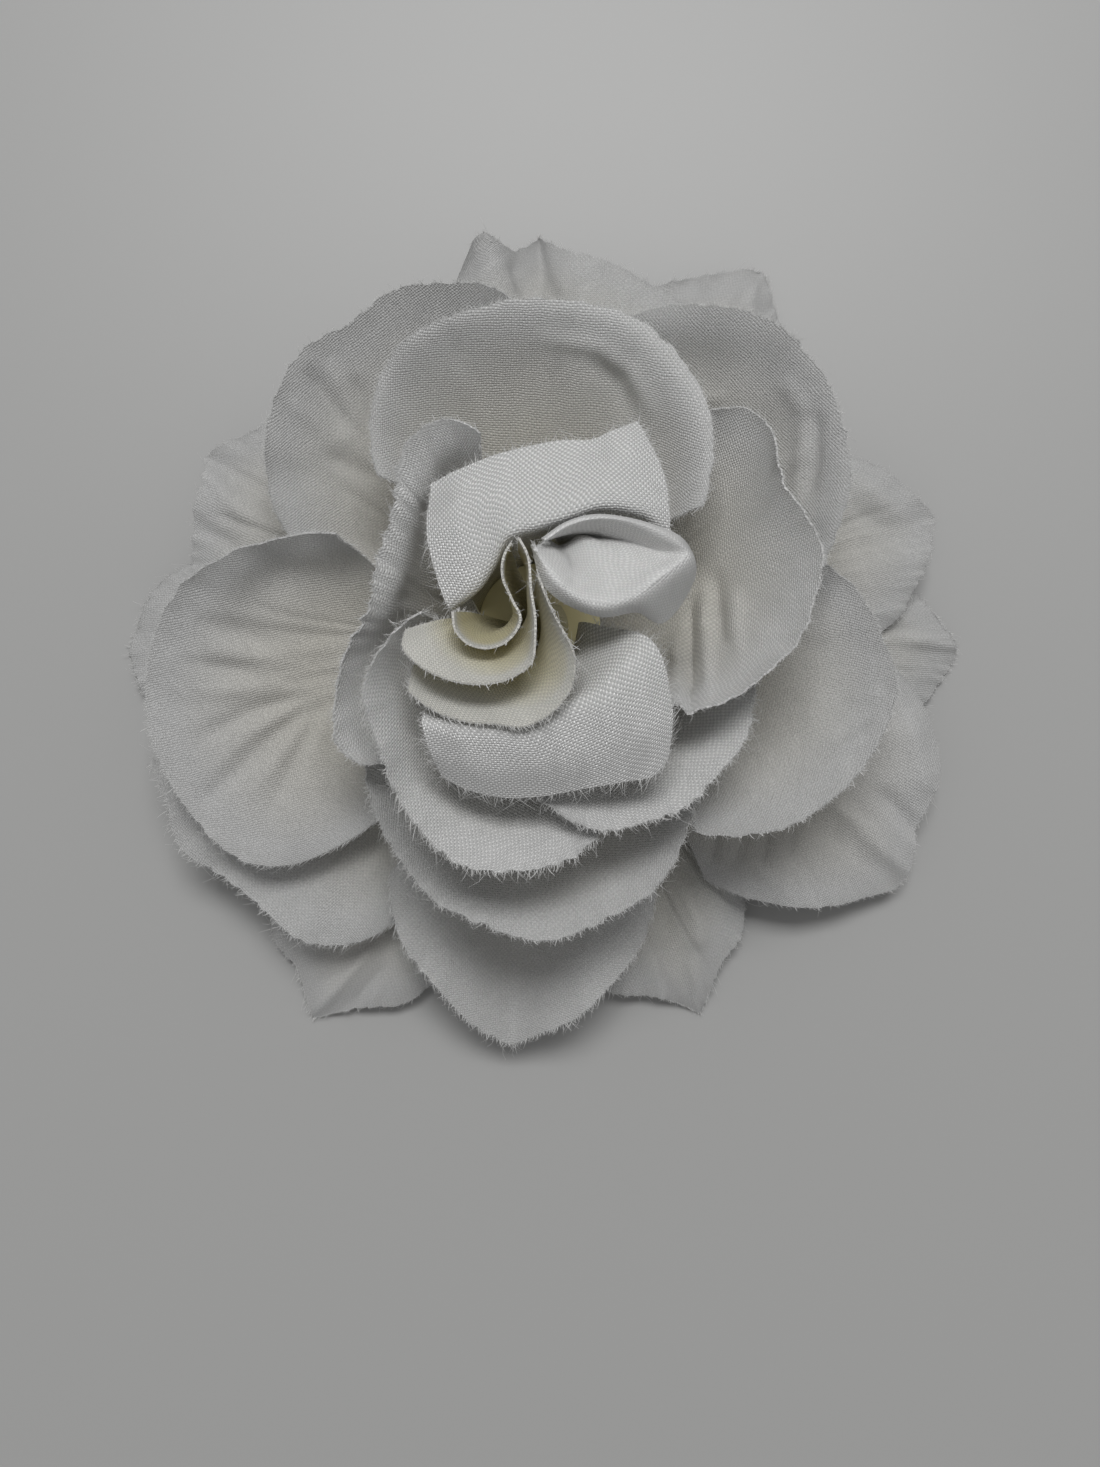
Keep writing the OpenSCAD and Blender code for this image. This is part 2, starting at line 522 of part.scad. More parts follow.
felt_disc();
clip_keeper();
receptacle();
outer_collar();
middle_collar();
inner_collar();
bud_core();
clip_base_arm();
clip_lever_arm();
hinge_pin();
torsion_spring();
for (i = [0:len(outer_petals) - 1])
    cloth(outer_petals[i], "whitesmoke");
for (i = [0:len(middle_petals) - 1])
    cloth(middle_petals[i], "whitesmoke");
for (i = [0:len(inner_petals) - 1])
    cloth(inner_petals[i], "white");
for (i = [0:len(satin_petals) - 1])
    cloth(satin_petals[i], "snow");
for (i = [0:len(bud_petals) - 1])
    cloth(bud_petals[i], "floralwhite");
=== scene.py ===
# Fabric rose on a sprung hair clip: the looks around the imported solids.
# Lengths are in millimetres until a mesh is made, and then in metres.
import math

import bpy
import numpy as np
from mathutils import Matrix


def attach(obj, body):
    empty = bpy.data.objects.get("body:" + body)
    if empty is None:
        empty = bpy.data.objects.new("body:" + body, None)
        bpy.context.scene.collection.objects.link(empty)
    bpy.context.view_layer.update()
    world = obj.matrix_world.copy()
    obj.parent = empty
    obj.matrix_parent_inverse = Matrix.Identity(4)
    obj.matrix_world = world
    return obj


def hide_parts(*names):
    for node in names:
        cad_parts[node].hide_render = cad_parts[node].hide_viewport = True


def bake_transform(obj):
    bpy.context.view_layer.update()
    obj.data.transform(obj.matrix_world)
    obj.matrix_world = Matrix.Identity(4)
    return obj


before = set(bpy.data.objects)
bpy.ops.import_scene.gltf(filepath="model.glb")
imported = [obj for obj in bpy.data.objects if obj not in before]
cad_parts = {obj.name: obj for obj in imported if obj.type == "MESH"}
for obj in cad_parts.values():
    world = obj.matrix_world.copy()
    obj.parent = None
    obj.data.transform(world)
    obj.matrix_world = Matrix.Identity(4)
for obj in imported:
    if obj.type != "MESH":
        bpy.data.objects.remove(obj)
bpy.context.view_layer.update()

MM = 0.001

# Camera
PHOTO_LONG_SIDE = 1467
PHOTO_MIDDLE = (550, 733.5)
FOCAL_PIXELS = 1500
SENSOR = 36
CAMERA_PLACE = (1.2, -12.7, 205)


def make_camera():
    data = bpy.data.cameras.new("camera")
    data.sensor_width = SENSOR
    data.lens = SENSOR * FOCAL_PIXELS / PHOTO_LONG_SIDE
    data.clip_start = 0.001
    data.clip_end = 20
    camera = bpy.data.objects.new("camera", data)
    camera.location = [x * MM for x in CAMERA_PLACE]
    bpy.context.scene.collection.objects.link(camera)
    bpy.context.scene.camera = camera


make_camera()

# Petal form
# A ring: radius of its collar, height that its roots start from and height that its rims rise from
# A tip: length, place across, half width, height and power
GLUE_GAP = 0.05
OUTER_RING = (10, 12.2, 0)
MIDDLE_RING = (8.5, 16, 16)
INNER_RING = (7, 22, 22)
NO_TIP = (0, 0, 1, 0, 2)
TIP_SOFT = 1.2
CORNER_POWER = 6


def mix(a, b, t):
    return a + (b - a) * t


def smooth(low, high, x):
    s = np.clip((x - low) / (high - low), 0, 1)
    return s * s * (3 - 2 * s)


def petal(ring, level, turn, spread, reach, rise, bowl, cut_right, cut_left, tip=NO_TIP, lean=0, edge=0,
          waist=0.8, corner=0, twist=0, bowl_lean=0):
    """A petal on a collar.

    Its points are named by across, from -1 to 1, and along, from 0 at the root to 1 at the rim.
    """
    return dict(root_r=ring[0] + GLUE_GAP, root_z=ring[1] + level, rim_base=ring[2], turn=turn, spread=spread,
                reach=reach, rise=rise, bowl=bowl, cut_right=cut_right, cut_left=cut_left, tip=tip, lean=lean,
                edge=edge, waist=waist, corner=corner, twist=twist, bowl_lean=bowl_lean)


def form(p, a, t, rim_push=0, rim_lift=0):
    """Points of a petal's middle surface."""
    cut = np.where(a < 0, p["cut_right"][0] * np.abs(a) ** p["cut_right"][1],
                   p["cut_left"][0] * np.abs(a) ** p["cut_left"][1])
    length, across, half, height, power = p["tip"]
    soft = TIP_SOFT * (1 - t)
    away = np.sqrt(((a - across) / half) ** 2 + soft ** 2) - soft
    bump = np.maximum(0, 1 - away ** power) ** 2
    rim_r = p["reach"] * (1 - cut - p["corner"] * np.abs(a) ** CORNER_POWER) + length * bump + rim_push
    rim_z = p["rim_base"] + p["rise"] + p["lean"] * a + p["edge"] * a * a + height * bump + rim_lift
    root_r = p["root_r"]
    root_z = p["root_z"] + p["twist"] * a
    bowl = p["bowl"] + p["bowl_lean"] * a
    mid_r = mix(root_r, rim_r, 0.5 + bowl / 2)
    mid_z = mix(root_z, rim_z, 0.5 - bowl / 2)
    w0, w1, w2 = (1 - t) ** 2, 2 * t * (1 - t), t ** 2
    r = w0 * root_r + w1 * mid_r + w2 * rim_r
    z = w0 * root_z + w1 * mid_z + w2 * rim_z
    angle = np.radians(p["turn"] + p["spread"] * a * mix(p["waist"], 1, t))
    return np.stack(np.broadcast_arrays(r * np.cos(angle), r * np.sin(angle), z), axis=-1)


INNER = dict(waist=0.75, twist=-1.1, bowl_lean=0.15)
INNER_LEVEL = 2.4
PETALS = {
    "outer_petal_1": petal(OUTER_RING, 2, 86, 21, 50.6, 7.6, 0.5, (0.08, 2), (0.02, 2),
                           tip=(3.4, 0.2, 0.3, -6, 1), edge=1),
    "outer_petal_2": petal(OUTER_RING, 0.6, 59, 17, 54.5, 1.25, 0.5, (0.16, 2), (0.16, 2),
                           tip=(1.5, 0, 0.4, -1, 1), edge=1),
    "outer_petal_3": petal(OUTER_RING, 2, 17, 17, 53, 7, 0.5, (0.18, 2), (0.18, 2),
                           tip=(2, 0, 0.4, -3, 1), edge=1),
    "outer_petal_4": petal(OUTER_RING, 0.6, -2, 15, 55.2, 1.25, 0.5, (0.2, 2), (0.2, 2),
                           tip=(1, 0, 0.4, -1, 1), edge=1),
    "outer_petal_5": petal(OUTER_RING, 2, 330, 26, 56, 7, 0.5, (0.32, 2), (0.2, 3),
                           tip=(3, -0.2, 0.4, -3, 1), edge=3),
    "outer_petal_6": petal(OUTER_RING, 0.6, 293, 17, 51, 3.45, 0.5, (0.12, 2), (0.15, 2),
                           tip=(4, 0, 0.4, -3.2, 1)),
    "outer_petal_7": petal(OUTER_RING, 0.6, 239, 18, 56.5, 2.85, 0.5, (0.14, 2), (0.25, 2),
                           tip=(3, 0, 0.4, -2.6, 1)),
    "outer_petal_8": petal(OUTER_RING, 3.2, 222, 24, 49.8, 13, 0.2, (-0.04, 2), (0.3, 4)),
    "outer_petal_9": petal(OUTER_RING, 0.6, 182, 18, 55.5, 1.25, 0.5, (0.2, 2), (0.2, 2),
                           tip=(0.5, 0, 0.4, -1, 1), edge=1),
    "outer_petal_10": petal(OUTER_RING, 2, 156, 21, 48.3, 8, 0.5, (0.14, 2.5), (0.1, 2.5),
                            tip=(2.4, -0.2, 0.3, -2, 1)),
    "middle_petal_1": petal(MIDDLE_RING, 1, 128, 36, 43, 11, 0.4, (0.1, 3), (0.3, 2),
                            lean=-3, waist=0.7, corner=0.05),
    "middle_petal_2": petal(MIDDLE_RING, 3.5, 45, 38, 42.8, 17, 0.6, (0.3, 1.8), (0.3, 2.5),
                            lean=-2, waist=0.7),
    "middle_petal_3": petal(MIDDLE_RING, 1, 345, 38, 42.8, 11, 0.45, (0.3, 1.8), (0.35, 2.2),
                            lean=-4, waist=0.7),
    "middle_petal_4": petal(MIDDLE_RING, 4.9, 266, 50, 36.5, 15, 0.3, (0.32, 1.5), (0.3, 2), waist=0.7),
    "middle_petal_5": petal(MIDDLE_RING, 1, 266, 28, 50, -3, -0.2, (0.28, 2), (0.28, 2),
                            tip=(4.3, 0, 0.5, -6, 1), edge=3),
    "middle_petal_6": petal(MIDDLE_RING, 3.5, 193, 37, 49, 6, 0.4, (0.48, 2), (0.4, 5),
                            lean=-6, edge=5, waist=0.7),
    "inner_petal_1": petal(INNER_RING, INNER_LEVEL, 86, 52, 34.6, 19, 0.55, (0.4, 2), (0.32, 4),
                           lean=-2.5, **INNER),
    "inner_petal_2": petal(INNER_RING, INNER_LEVEL, 14, 52, 31.8, 18.5, 0.45, (0.4, 1.2), (0.3, 4),
                           tip=(3.5, 0.63, 0.35, 0, 2), lean=-9, edge=-4, corner=0.15, **INNER),
    "inner_petal_3": petal(INNER_RING, INNER_LEVEL, 315, 51, 26.4, 17.3, -0.15, (0.28, 2), (0.05, 2),
                           lean=-6, edge=-3, corner=0.1, **INNER),
    "inner_petal_4": petal(INNER_RING, INNER_LEVEL, 235, 55, 24.3, 21, -0.3, (0.34, 1.2), (0.06, 2),
                           tip=(4.5, 0.6, 0.9, 0, 2), lean=-4, corner=0.15, **{**INNER, "bowl_lean": -0.1}),
    "inner_petal_5": petal(INNER_RING, INNER_LEVEL, 165, 57, 19, 19, 0.05, (-0.6, 2), (-0.82, 2),
                           lean=-5, corner=0.55, **INNER),
}

ROWS_ACROSS, ROWS_ALONG = 140, 60

# Bud form
# Each bud petal is drawn through lines of places in the photograph's pixels with their heights.
# SATIN_1_WALL lies out of sight, so its places are in millimetres.
ROOT_Z = 31.3


def seen(line):
    """Places of photograph pixels at their heights."""
    line = np.array(line, float)
    scale = (CAMERA_PLACE[2] - line[:, 2]) / FOCAL_PIXELS
    return np.stack([CAMERA_PLACE[0] + (line[:, 0] - PHOTO_MIDDLE[0]) * scale,
                     CAMERA_PLACE[1] - (line[:, 1] - PHOTO_MIDDLE[1]) * scale, line[:, 2]], axis=1)


def arc(centre, r, start, end, z, count):
    turn = np.radians(np.linspace(start, end, count))
    return np.stack([centre[0] + r * np.cos(turn), centre[1] + r * np.sin(turn), np.full(count, z)], axis=1)


def through(points, far, count):
    """Even steps along a smooth curve through points at distances far, on the first axis."""
    slope = np.gradient(points, far, axis=0)
    x = np.linspace(0, far[-1], count)
    i = np.clip(np.searchsorted(far, x, side="right") - 1, 0, len(far) - 2)
    shape = (-1,) + (1,) * (points.ndim - 1)
    width = (far[i + 1] - far[i]).reshape(shape)
    u = (x - far[i]).reshape(shape) / width
    return ((2 * u ** 3 - 3 * u ** 2 + 1) * points[i] + (u ** 3 - 2 * u ** 2 + u) * width * slope[i]
            + (3 * u ** 2 - 2 * u ** 3) * points[i + 1] + (u ** 3 - u ** 2) * width * slope[i + 1])


def spacing(points):
    """Distances along points on the first axis, meant over the others."""
    step = np.linalg.norm(np.diff(points, axis=0), axis=-1).reshape(len(points) - 1, -1).mean(axis=1)
    return np.concatenate([[0], np.cumsum(step)])


def loft(lines):
    """A grid of points through lines from root to rim, each with as many points as the rim."""
    rows = np.stack(lines, axis=1)
    rows = through(rows, spacing(rows[:, -1:]), ROWS_ACROSS + 1)
    columns = np.swapaxes(rows, 0, 1)
    return np.swapaxes(through(columns, spacing(columns), ROWS_ALONG + 1), 0, 1)


SATIN_1_FOLD = [(445, 600, 48.5), (474, 581, 50.3), (492, 560, 51), (508, 535, 51.8), (535, 525, 52.2),
                (566, 515, 52.3), (600, 505, 52.3), (640, 509, 51.8), (669, 530, 50)]
SATIN_1_BAND = [(429, 545, 48), (458, 525, 50.2), (483, 512, 50.8), (508, 503, 51.2), (535, 495, 51.4),
                (563, 487, 51.5), (592, 480, 51.6), (625, 470, 51.4), (664, 478, 49.5)]
SATIN_1_RAW = [(431, 484, 46), (457, 471, 47.3), (483, 460, 48), (510, 451, 48.3), (537, 445, 48.5),
               (565, 441, 48.6), (590, 440, 48.6), (613, 431, 48.8), (638, 421, 48.5)]
SATIN_1_WALL = [(-8, 2.2, 43), (-6.2, 4.3, 43), (-4.6, 6.4, 43), (-2.6, 8.1, 43), (0, 9, 43),
                (2.6, 9.8, 43), (5.2, 10.3, 43), (8, 10.1, 43), (10.5, 9.3, 43)]
SATIN_2_WALL = [(428, 708, 46.5), (455, 712, 47), (490, 714, 47), (527, 714, 47), (556, 700, 46.5),
                (576, 678, 46), (591, 652, 45.5), (602, 626, 45)]
SATIN_2_FOLD = [(422, 721, 49), (450, 727, 50), (490, 729, 50.3), (530, 730, 50.3), (565, 706, 50.3),
                (600, 690, 50.3), (630, 662, 50), (652, 641, 49)]
SATIN_2_BAND = [(430, 750, 48), (465, 757, 48.8), (500, 762, 48.9), (540, 762, 48.9), (580, 748, 48.9),
                (620, 732, 48.9), (650, 718, 48.6), (671, 700, 47.8)]
SATIN_2_RAW = [(442, 777, 45.2), (470, 790, 45.2), (505, 797, 45.2), (545, 795, 45.2), (585, 788, 45.4),
               (625, 781, 45.6), (655, 775, 45.6), (669, 757, 46)]
ROLL_1_MID = [(535, 590, 49.5), (541, 612, 49), (544, 632, 49), (545, 652, 49), (540, 671, 48.5),
              (524, 684, 48), (505, 690, 48), (482, 692, 47.5), (456, 690, 47), (430, 680, 46.5),
              (414, 664, 46)]
ROLL_1_RIM = [(538, 575, 53.8), (547, 598, 54), (560, 625, 54), (574, 655, 53.6), (570, 690, 53),
              (552, 712, 52.5), (522, 727, 52), (495, 724, 51.5), (465, 721, 51), (430, 708, 50),
              (408, 690, 49)]
ROLL_2_MID = [(519, 548, 50), (526, 563, 50), (528, 592, 49.5), (527, 622, 49.5), (515, 644, 49.5),
              (498, 654, 49.5), (474, 653, 49), (455, 645, 48.5), (444, 635, 48.3), (439, 628, 48),
              (438, 620, 48)]
ROLL_2_RIM = [(519, 538, 54.3), (528, 556, 54.8), (531, 590, 55), (535, 630, 55), (531, 664, 54.7),
              (510, 678, 54.3), (475, 684, 53.8), (440, 677, 53), (415, 662, 52), (402, 646, 51),
              (405, 630, 50)]
ROLL_3_MID = [(511, 551, 48), (507, 562, 48), (506, 580, 48), (511, 598, 48), (514, 614, 48),
              (504, 629, 48), (487, 635, 48), (474, 632, 48), (466, 623, 48), (465, 612, 48)]
ROLL_3_RIM = [(511, 543, 54), (503, 557, 54), (502, 578, 53.8), (511, 598, 53.6), (520, 618, 53.4),
              (507, 640, 53.3), (486, 648, 53), (466, 643, 52.8), (454, 629, 52.5), (452, 612, 52.5)]
CUP_MID = [(547, 541, 48.5), (560, 549, 49), (573, 550, 50.3), (586, 548, 51), (598, 546, 51),
           (606, 544, 50.5), (609, 541, 50), (605, 538, 49), (600, 537, 48.6), (592, 535, 48.2),
           (582, 534, 48), (568, 534, 48), (555, 537, 48)]
CUP_BOWL = [(541, 544, 51), (562, 562, 51.5), (578, 577, 52.6), (600, 583, 53.2), (625, 580, 53.4),
            (645, 570, 53.4), (665, 557, 52.8), (655, 547, 52), (638, 540, 51.5), (618, 534, 51),
            (597, 530, 50.2), (573, 532, 49.8), (552, 538, 50)]
CUP_CREST = [(535, 547, 53.2), (552, 573, 53.8), (574, 594, 54.2), (600, 603, 54.4), (630, 599, 54.5),
             (658, 584, 54.4), (688, 558, 53.6), (672, 541, 54), (648, 529, 54), (622, 521, 53.8),
             (596, 519, 53.4), (568, 526, 53), (546, 540, 52.9)]
CUP_RIM = [(530, 545, 52.4), (543, 580, 52.3), (569, 605, 52.4), (600, 615, 52.6), (636, 612, 51.6),
           (663, 622, 47.5), (694, 578, 48.5), (680, 538, 52.8), (652, 525, 53.2), (623, 517, 53.2),
           (595, 515, 52.8), (565, 523, 52.4), (541, 538, 52.2)]
SATIN_ROOT_R = 7.05
BUD = {
    "satin_petal_1": [arc((0, 0), SATIN_ROOT_R, 170, 62, 28.5, 9), np.array(SATIN_1_WALL), seen(SATIN_1_FOLD),
                      seen(SATIN_1_BAND), seen(SATIN_1_RAW)],
    "satin_petal_2": [arc((0, 0), SATIN_ROOT_R, 235, 340, 30.95, 8), seen(SATIN_2_WALL), seen(SATIN_2_FOLD),
                      seen(SATIN_2_BAND), seen(SATIN_2_RAW)],
    "bud_petal_1": [arc((-1, -0.4), 4.2, 35, -155, ROOT_Z, 11), seen(ROLL_1_MID), seen(ROLL_1_RIM)],
    "bud_petal_2": [arc((-1.2, -0.2), 2.7, 28, -152, ROOT_Z, 11), seen(ROLL_2_MID), seen(ROLL_2_RIM)],
    "bud_petal_3": [arc((-1.2, 0.3), 1.3, 20, -160, ROOT_Z, 10), seen(ROLL_3_MID), seen(ROLL_3_RIM)],
    "bud_petal_4": [arc((3.2, 5.2), 0.9, 115, 445, ROOT_Z, 13), seen(CUP_MID), seen(CUP_BOWL),
                    seen(CUP_CREST), seen(CUP_RIM)],
}

# Detail of each petal
# creases: places of a line in the photograph's pixels, half width in pixels and height over the cloth
# lifts: across, half width, push outwards, lift and power of one wave in the rim
# ruffle: waves across, height and phase
DETAIL = {
    "middle_petal_6": dict(creases=[
        ([(275, 645), (200, 622)], 11, -0.6), ([(255, 672), (182, 660)], 8, -0.4),
        ([(310, 665), (205, 648)], 9, 0.3), ([(312, 690), (200, 690)], 10, 0.5),
        ([(300, 694), (245, 714), (195, 745)], 10, -0.6), ([(300, 704), (250, 735), (215, 765)], 8, 0.4),
        ([(310, 708), (265, 745), (205, 800)], 10, -0.65), ([(312, 705), (285, 750), (255, 790)], 8, 0.4),
        ([(318, 712), (295, 760), (270, 810)], 8, -0.45), ([(322, 715), (305, 770), (298, 815)], 8, 0.3),
        ([(330, 735), (328, 805)], 8, -0.3), ([(345, 575), (285, 580), (235, 600)], 22, -0.8)]),
    "middle_petal_1": dict(creases=[
        ([(310, 370), (345, 430)], 9, -0.7), ([(355, 380), (375, 430)], 8, -0.4),
        ([(330, 455), (375, 480)], 8, -0.5), ([(330, 365), (362, 430)], 8, 0.4),
        ([(290, 400), (340, 450)], 9, 0.4)]),
    "middle_petal_2": dict(creases=[
        ([(817, 415), (816, 460), (808, 495)], 7, -0.5), ([(803, 420), (801, 460), (795, 495)], 7, 0.35),
        ([(785, 380), (806, 415)], 9, 0.35), ([(690, 398), (725, 398)], 6, 0.25)],
        lifts=[(0, 3, 0.6, -1.5, 10), (0.25, 0.4, 0.5, 0.6, 8)]),
    "middle_petal_3": dict(creases=[
        ([(880, 605), (892, 640)], 5, -0.3), ([(838, 735), (870, 722)], 5, -0.3),
        ([(832, 752), (864, 740)], 5, 0.3), ([(850, 700), (880, 690)], 6, 0.3)]),
    "inner_petal_1": dict(creases=[
        ([(545, 338), (600, 347), (632, 372), (652, 410)], 9, 0.4),
        ([(590, 362), (618, 385), (632, 415)], 10, -0.35)],
        lifts=[(0, 3, 0.8, -1.8, 10), (-0.5, 0.35, 0.5, -1, 12)]),
    "inner_petal_2": dict(creases=[
        ([(697, 460), (683, 530)], 3, -0.3), ([(715, 575), (720, 640)], 7, -0.6),
        ([(735, 590), (738, 650)], 8, 0.5), ([(690, 600), (690, 725)], 5, -0.8),
        ([(705, 590), (708, 700)], 6, 0.6), ([(675, 640), (678, 720)], 6, 0.5)]),
    "inner_petal_5": dict(creases=[
        ([(445, 440), (405, 500), (388, 570), (365, 640)], 20, 1.6)]),
    "outer_petal_1": dict(lifts=[(0.58, 0.14, 2.4, 3, 5), (0.92, 0.16, -3, 0, 4), (-0.6, 0.3, -0.6, 1.2, 4)],
                          creases=[([(512, 262), (530, 300)], 8, -0.8), ([(548, 232), (560, 290)], 9, 0.6)]),
    "outer_petal_2": dict(lifts=[(0, 0.3, 2.2, 0.4, 4), (0.6, 0.3, 0, 2.4, 8)],
                          creases=[([(752, 280), (745, 330)], 8, 0.7), ([(700, 285), (712, 320)], 8, -0.5)]),
    "outer_petal_3": dict(creases=[([(845, 470), (905, 520)], 9, 0.5), ([(850, 500), (915, 560)], 9, -0.5)],
                          ruffle=(2.5, 0.6, 0.5)),
    "outer_petal_8": dict(lifts=[(-0.45, 0.35, 3, 0, 4)]),
    "outer_petal_10": dict(creases=[([(200, 470), (250, 520)], 9, 0.7), ([(185, 520), (235, 545)], 9, -0.6)],
                           ruffle=(2, 0.7, 1)),
    "outer_petal_4": dict(creases=[([(905, 640), (955, 645)], 7, 0.8)]),
    "outer_petal_5": dict(creases=[
        ([(905, 720), (925, 790)], 14, 0.8), ([(880, 790), (925, 840)], 10, -1.0),
        ([(830, 800), (915, 880)], 10, 0.8), ([(720, 830), (712, 860)], 5, -0.4),
        ([(745, 830), (738, 862)], 5, -0.4), ([(770, 830), (765, 865)], 5, -0.4),
        ([(795, 825), (793, 860)], 5, -0.4)]),
    "outer_petal_6": dict(creases=[
        ([(690, 905), (700, 945)], 7, 0.6), ([(672, 900), (660, 960)], 8, -0.5),
        ([(690, 960), (700, 1010)], 6, 0.5)]),
    "outer_petal_7": dict(creases=[
        ([(370, 950), (340, 985), (310, 1015)], 7, 0.9), ([(385, 965), (345, 1010)], 7, -0.6)]),
}
RESTING_Z = 0.25
CLOTH_T = 0.24
CREASE_START, CREASE_END = (-0.2, 0.25), (0.75, 1.2)
VEIN_COUNT, VEIN_HEIGHT, VEIN_WIDTH = 9, 0.16, (0.025, 0.07)
VEIN_PLACE, VEIN_SLANT, VEIN_START, VEIN_END = 0.85, 0.15, (0.25, 0.5), (0.7, 0.95)
# Waves in a rim: height, number of waves added up, lowest and highest pace across, power of their rise
PUSH_WAVES = ((0.32, 5, 4, 16, 3), (0.11, 6, 40, 90, 10), (0.06, 8, 120, 260, 30))
LIFT_WAVES = ((0.4, 3, 3, 8, 2), (0.16, 4, 14, 32, 6))
RUFFLE = (2, 0.3, 0)
# Swells all over a petal: number of waves added up, lowest and highest pace per millimetre
PETAL_SWELL, PETAL_SWELL_HEIGHT = (3, 0.3, 0.7), 0.12
BUD_SWELL, BUD_SWELL_HEIGHT = (3, 0.4, 0.9), 0.08
CALM_ROOT = (0.05, 0.35)
STRAIGHT_CUT_R, STRAIGHT_CUT_SHARE = 1000, 1.05


def flatten(points):
    """Places of a grid's points on the flat cut, from its lengths along and across."""
    along = np.concatenate([np.zeros((points.shape[0], 1)),
                            np.cumsum(np.linalg.norm(np.diff(points, axis=1), axis=2), axis=1)], axis=1)
    across = np.concatenate([np.zeros((1, points.shape[1])),
                             np.cumsum(np.linalg.norm(np.diff(points, axis=0), axis=2), axis=0)], axis=0)
    across = across - across[points.shape[0] // 2]
    middle = along[points.shape[0] // 2]
    root_w = across[-1, 0] - across[0, 0]
    rim_w = across[-1, -1] - across[0, -1]
    start = STRAIGHT_CUT_R
    if rim_w >= STRAIGHT_CUT_SHARE * root_w:
        start = middle[-1] * root_w / (rim_w - root_w)
    turn = across / (start + middle)
    radius = start + along
    return np.stack([radius * np.sin(turn), radius * np.cos(turn) - start], axis=-1)


def grid_normals(points):
    n = np.cross(np.gradient(points, axis=1), np.gradient(points, axis=0))
    return n / np.maximum(np.linalg.norm(n, axis=2, keepdims=True), 1e-9)


def pixels(points):
    """Where points fall in the photograph."""
    scale = FOCAL_PIXELS / (CAMERA_PLACE[2] - points[..., 2])
    return np.stack([PHOTO_MIDDLE[0] + (points[..., 0] - CAMERA_PLACE[0]) * scale,
                     PHOTO_MIDDLE[1] - (points[..., 1] - CAMERA_PLACE[1]) * scale], axis=-1)


def crease_height(places, line, half, height):
    line = np.array(line, float)
    near = np.full(places.shape[:2], np.inf)
    for start, end in zip(line[:-1], line[1:]):
        way = end - start
        share = np.clip(((places - start) @ way) / (way @ way), 0, 1)
        near = np.minimum(near, np.linalg.norm(places - start - share[..., None] * way, axis=-1))
    way = line[-1] - line[0]
    share = ((places - line[0]) @ way) / (way @ way)
    fade = smooth(*CREASE_START, share) * (1 - smooth(*CREASE_END, share))
    return height * np.exp(-((near / half) ** 2)) * fade


def veins(a, t, rng):
    """Shallow furrows and ridges pressed along a petal."""
    total = np.zeros(np.broadcast(a, t).shape)
    for _ in range(VEIN_COUNT):
        line = rng.uniform(-VEIN_PLACE, VEIN_PLACE) + rng.uniform(-VEIN_SLANT, VEIN_SLANT) * (t - 0.6)
        start, end = rng.uniform(*VEIN_START), rng.uniform(*VEIN_END)
        fade = smooth(start - 0.2, start, t) * (1 - smooth(end - 0.1, end + 0.05, t))
        side = rng.choice([-1, 1])
        total = total + side * np.exp(-(((a - line) / rng.uniform(*VEIN_WIDTH)) ** 2)) * fade
    return VEIN_HEIGHT * total


def waves(x, rng, count, low, high):
    """A smooth random line with a height of about 1."""
    total = np.zeros_like(x)
    for _ in range(count):
        total = total + np.sin(x * rng.uniform(low, high) + rng.uniform(0, 2 * math.pi))
    return total / math.sqrt(count)


def rim_waves(a, t, rng, rows):
    """Waves across a petal that grow towards its rim."""
    total = 0
    for height, count, low, high, power in rows:
        total = total + height * waves(a, rng, count, low, high) * t ** power
    return total


def swell(flat, rng, count, low, high):
    """Broad swells over the flat cut."""
    return waves(flat[..., 0], rng, count, low, high) * waves(flat[..., 1], rng, count, low, high)


def bud_grid(lines, seed):
    """As petal_grid, for a bud petal."""
    rng = np.random.default_rng(seed)
    plain = loft(lines)
    flat = flatten(plain)
    t = np.linspace(0, 1, ROWS_ALONG + 1)[None, :]
    relief = BUD_SWELL_HEIGHT * swell(flat, rng, *BUD_SWELL) * smooth(*CALM_ROOT, t)
    n = grid_normals(plain)
    return plain + relief[..., None] * n * np.where(n[..., 2:] < 0, -1, 1), flat


def petal_grid(p, more, seed):
    """Points of a petal's middle surface with its waves and creases, and their places on the flat cut."""
    rng = np.random.default_rng(seed)
    a = np.linspace(-1, 1, ROWS_ACROSS + 1)[:, None]
    t = np.linspace(0, 1, ROWS_ALONG + 1)[None, :]
    push = rim_waves(a, t, rng, PUSH_WAVES)
    lift = rim_waves(a, t, rng, LIFT_WAVES)
    for across, half, out, up, power in more.get("lifts", ()):
        bell = np.exp(-(((a - across) / half) ** 2)) * t ** power
        push = push + out * bell
        lift = lift + up * bell
    count, height, phase = more.get("ruffle", RUFFLE)
    lift = lift + height * np.sin(math.pi * count * a + phase) * t ** 3
    plain = form(p, a, t, push, lift)
    flat = flatten(plain)
    relief = veins(a, t, rng)
    for crease in more.get("creases", ()):
        relief += crease_height(pixels(plain), *crease)
    relief += PETAL_SWELL_HEIGHT * swell(flat, rng, *PETAL_SWELL)
    relief = relief * smooth(*CALM_ROOT, t)
    points = plain + relief[..., None] * grid_normals(plain)
    points[..., 2] = np.maximum(points[..., 2], RESTING_Z)
    return points, flat


# Meshes
def add_object(name, points, faces):
    mesh = bpy.data.meshes.new(name)
    mesh.from_pydata((np.asarray(points) * MM).tolist(), [], faces)
    mesh.validate()
    obj = bpy.data.objects.new(name, mesh)
    bpy.context.scene.collection.objects.link(obj)
    return obj


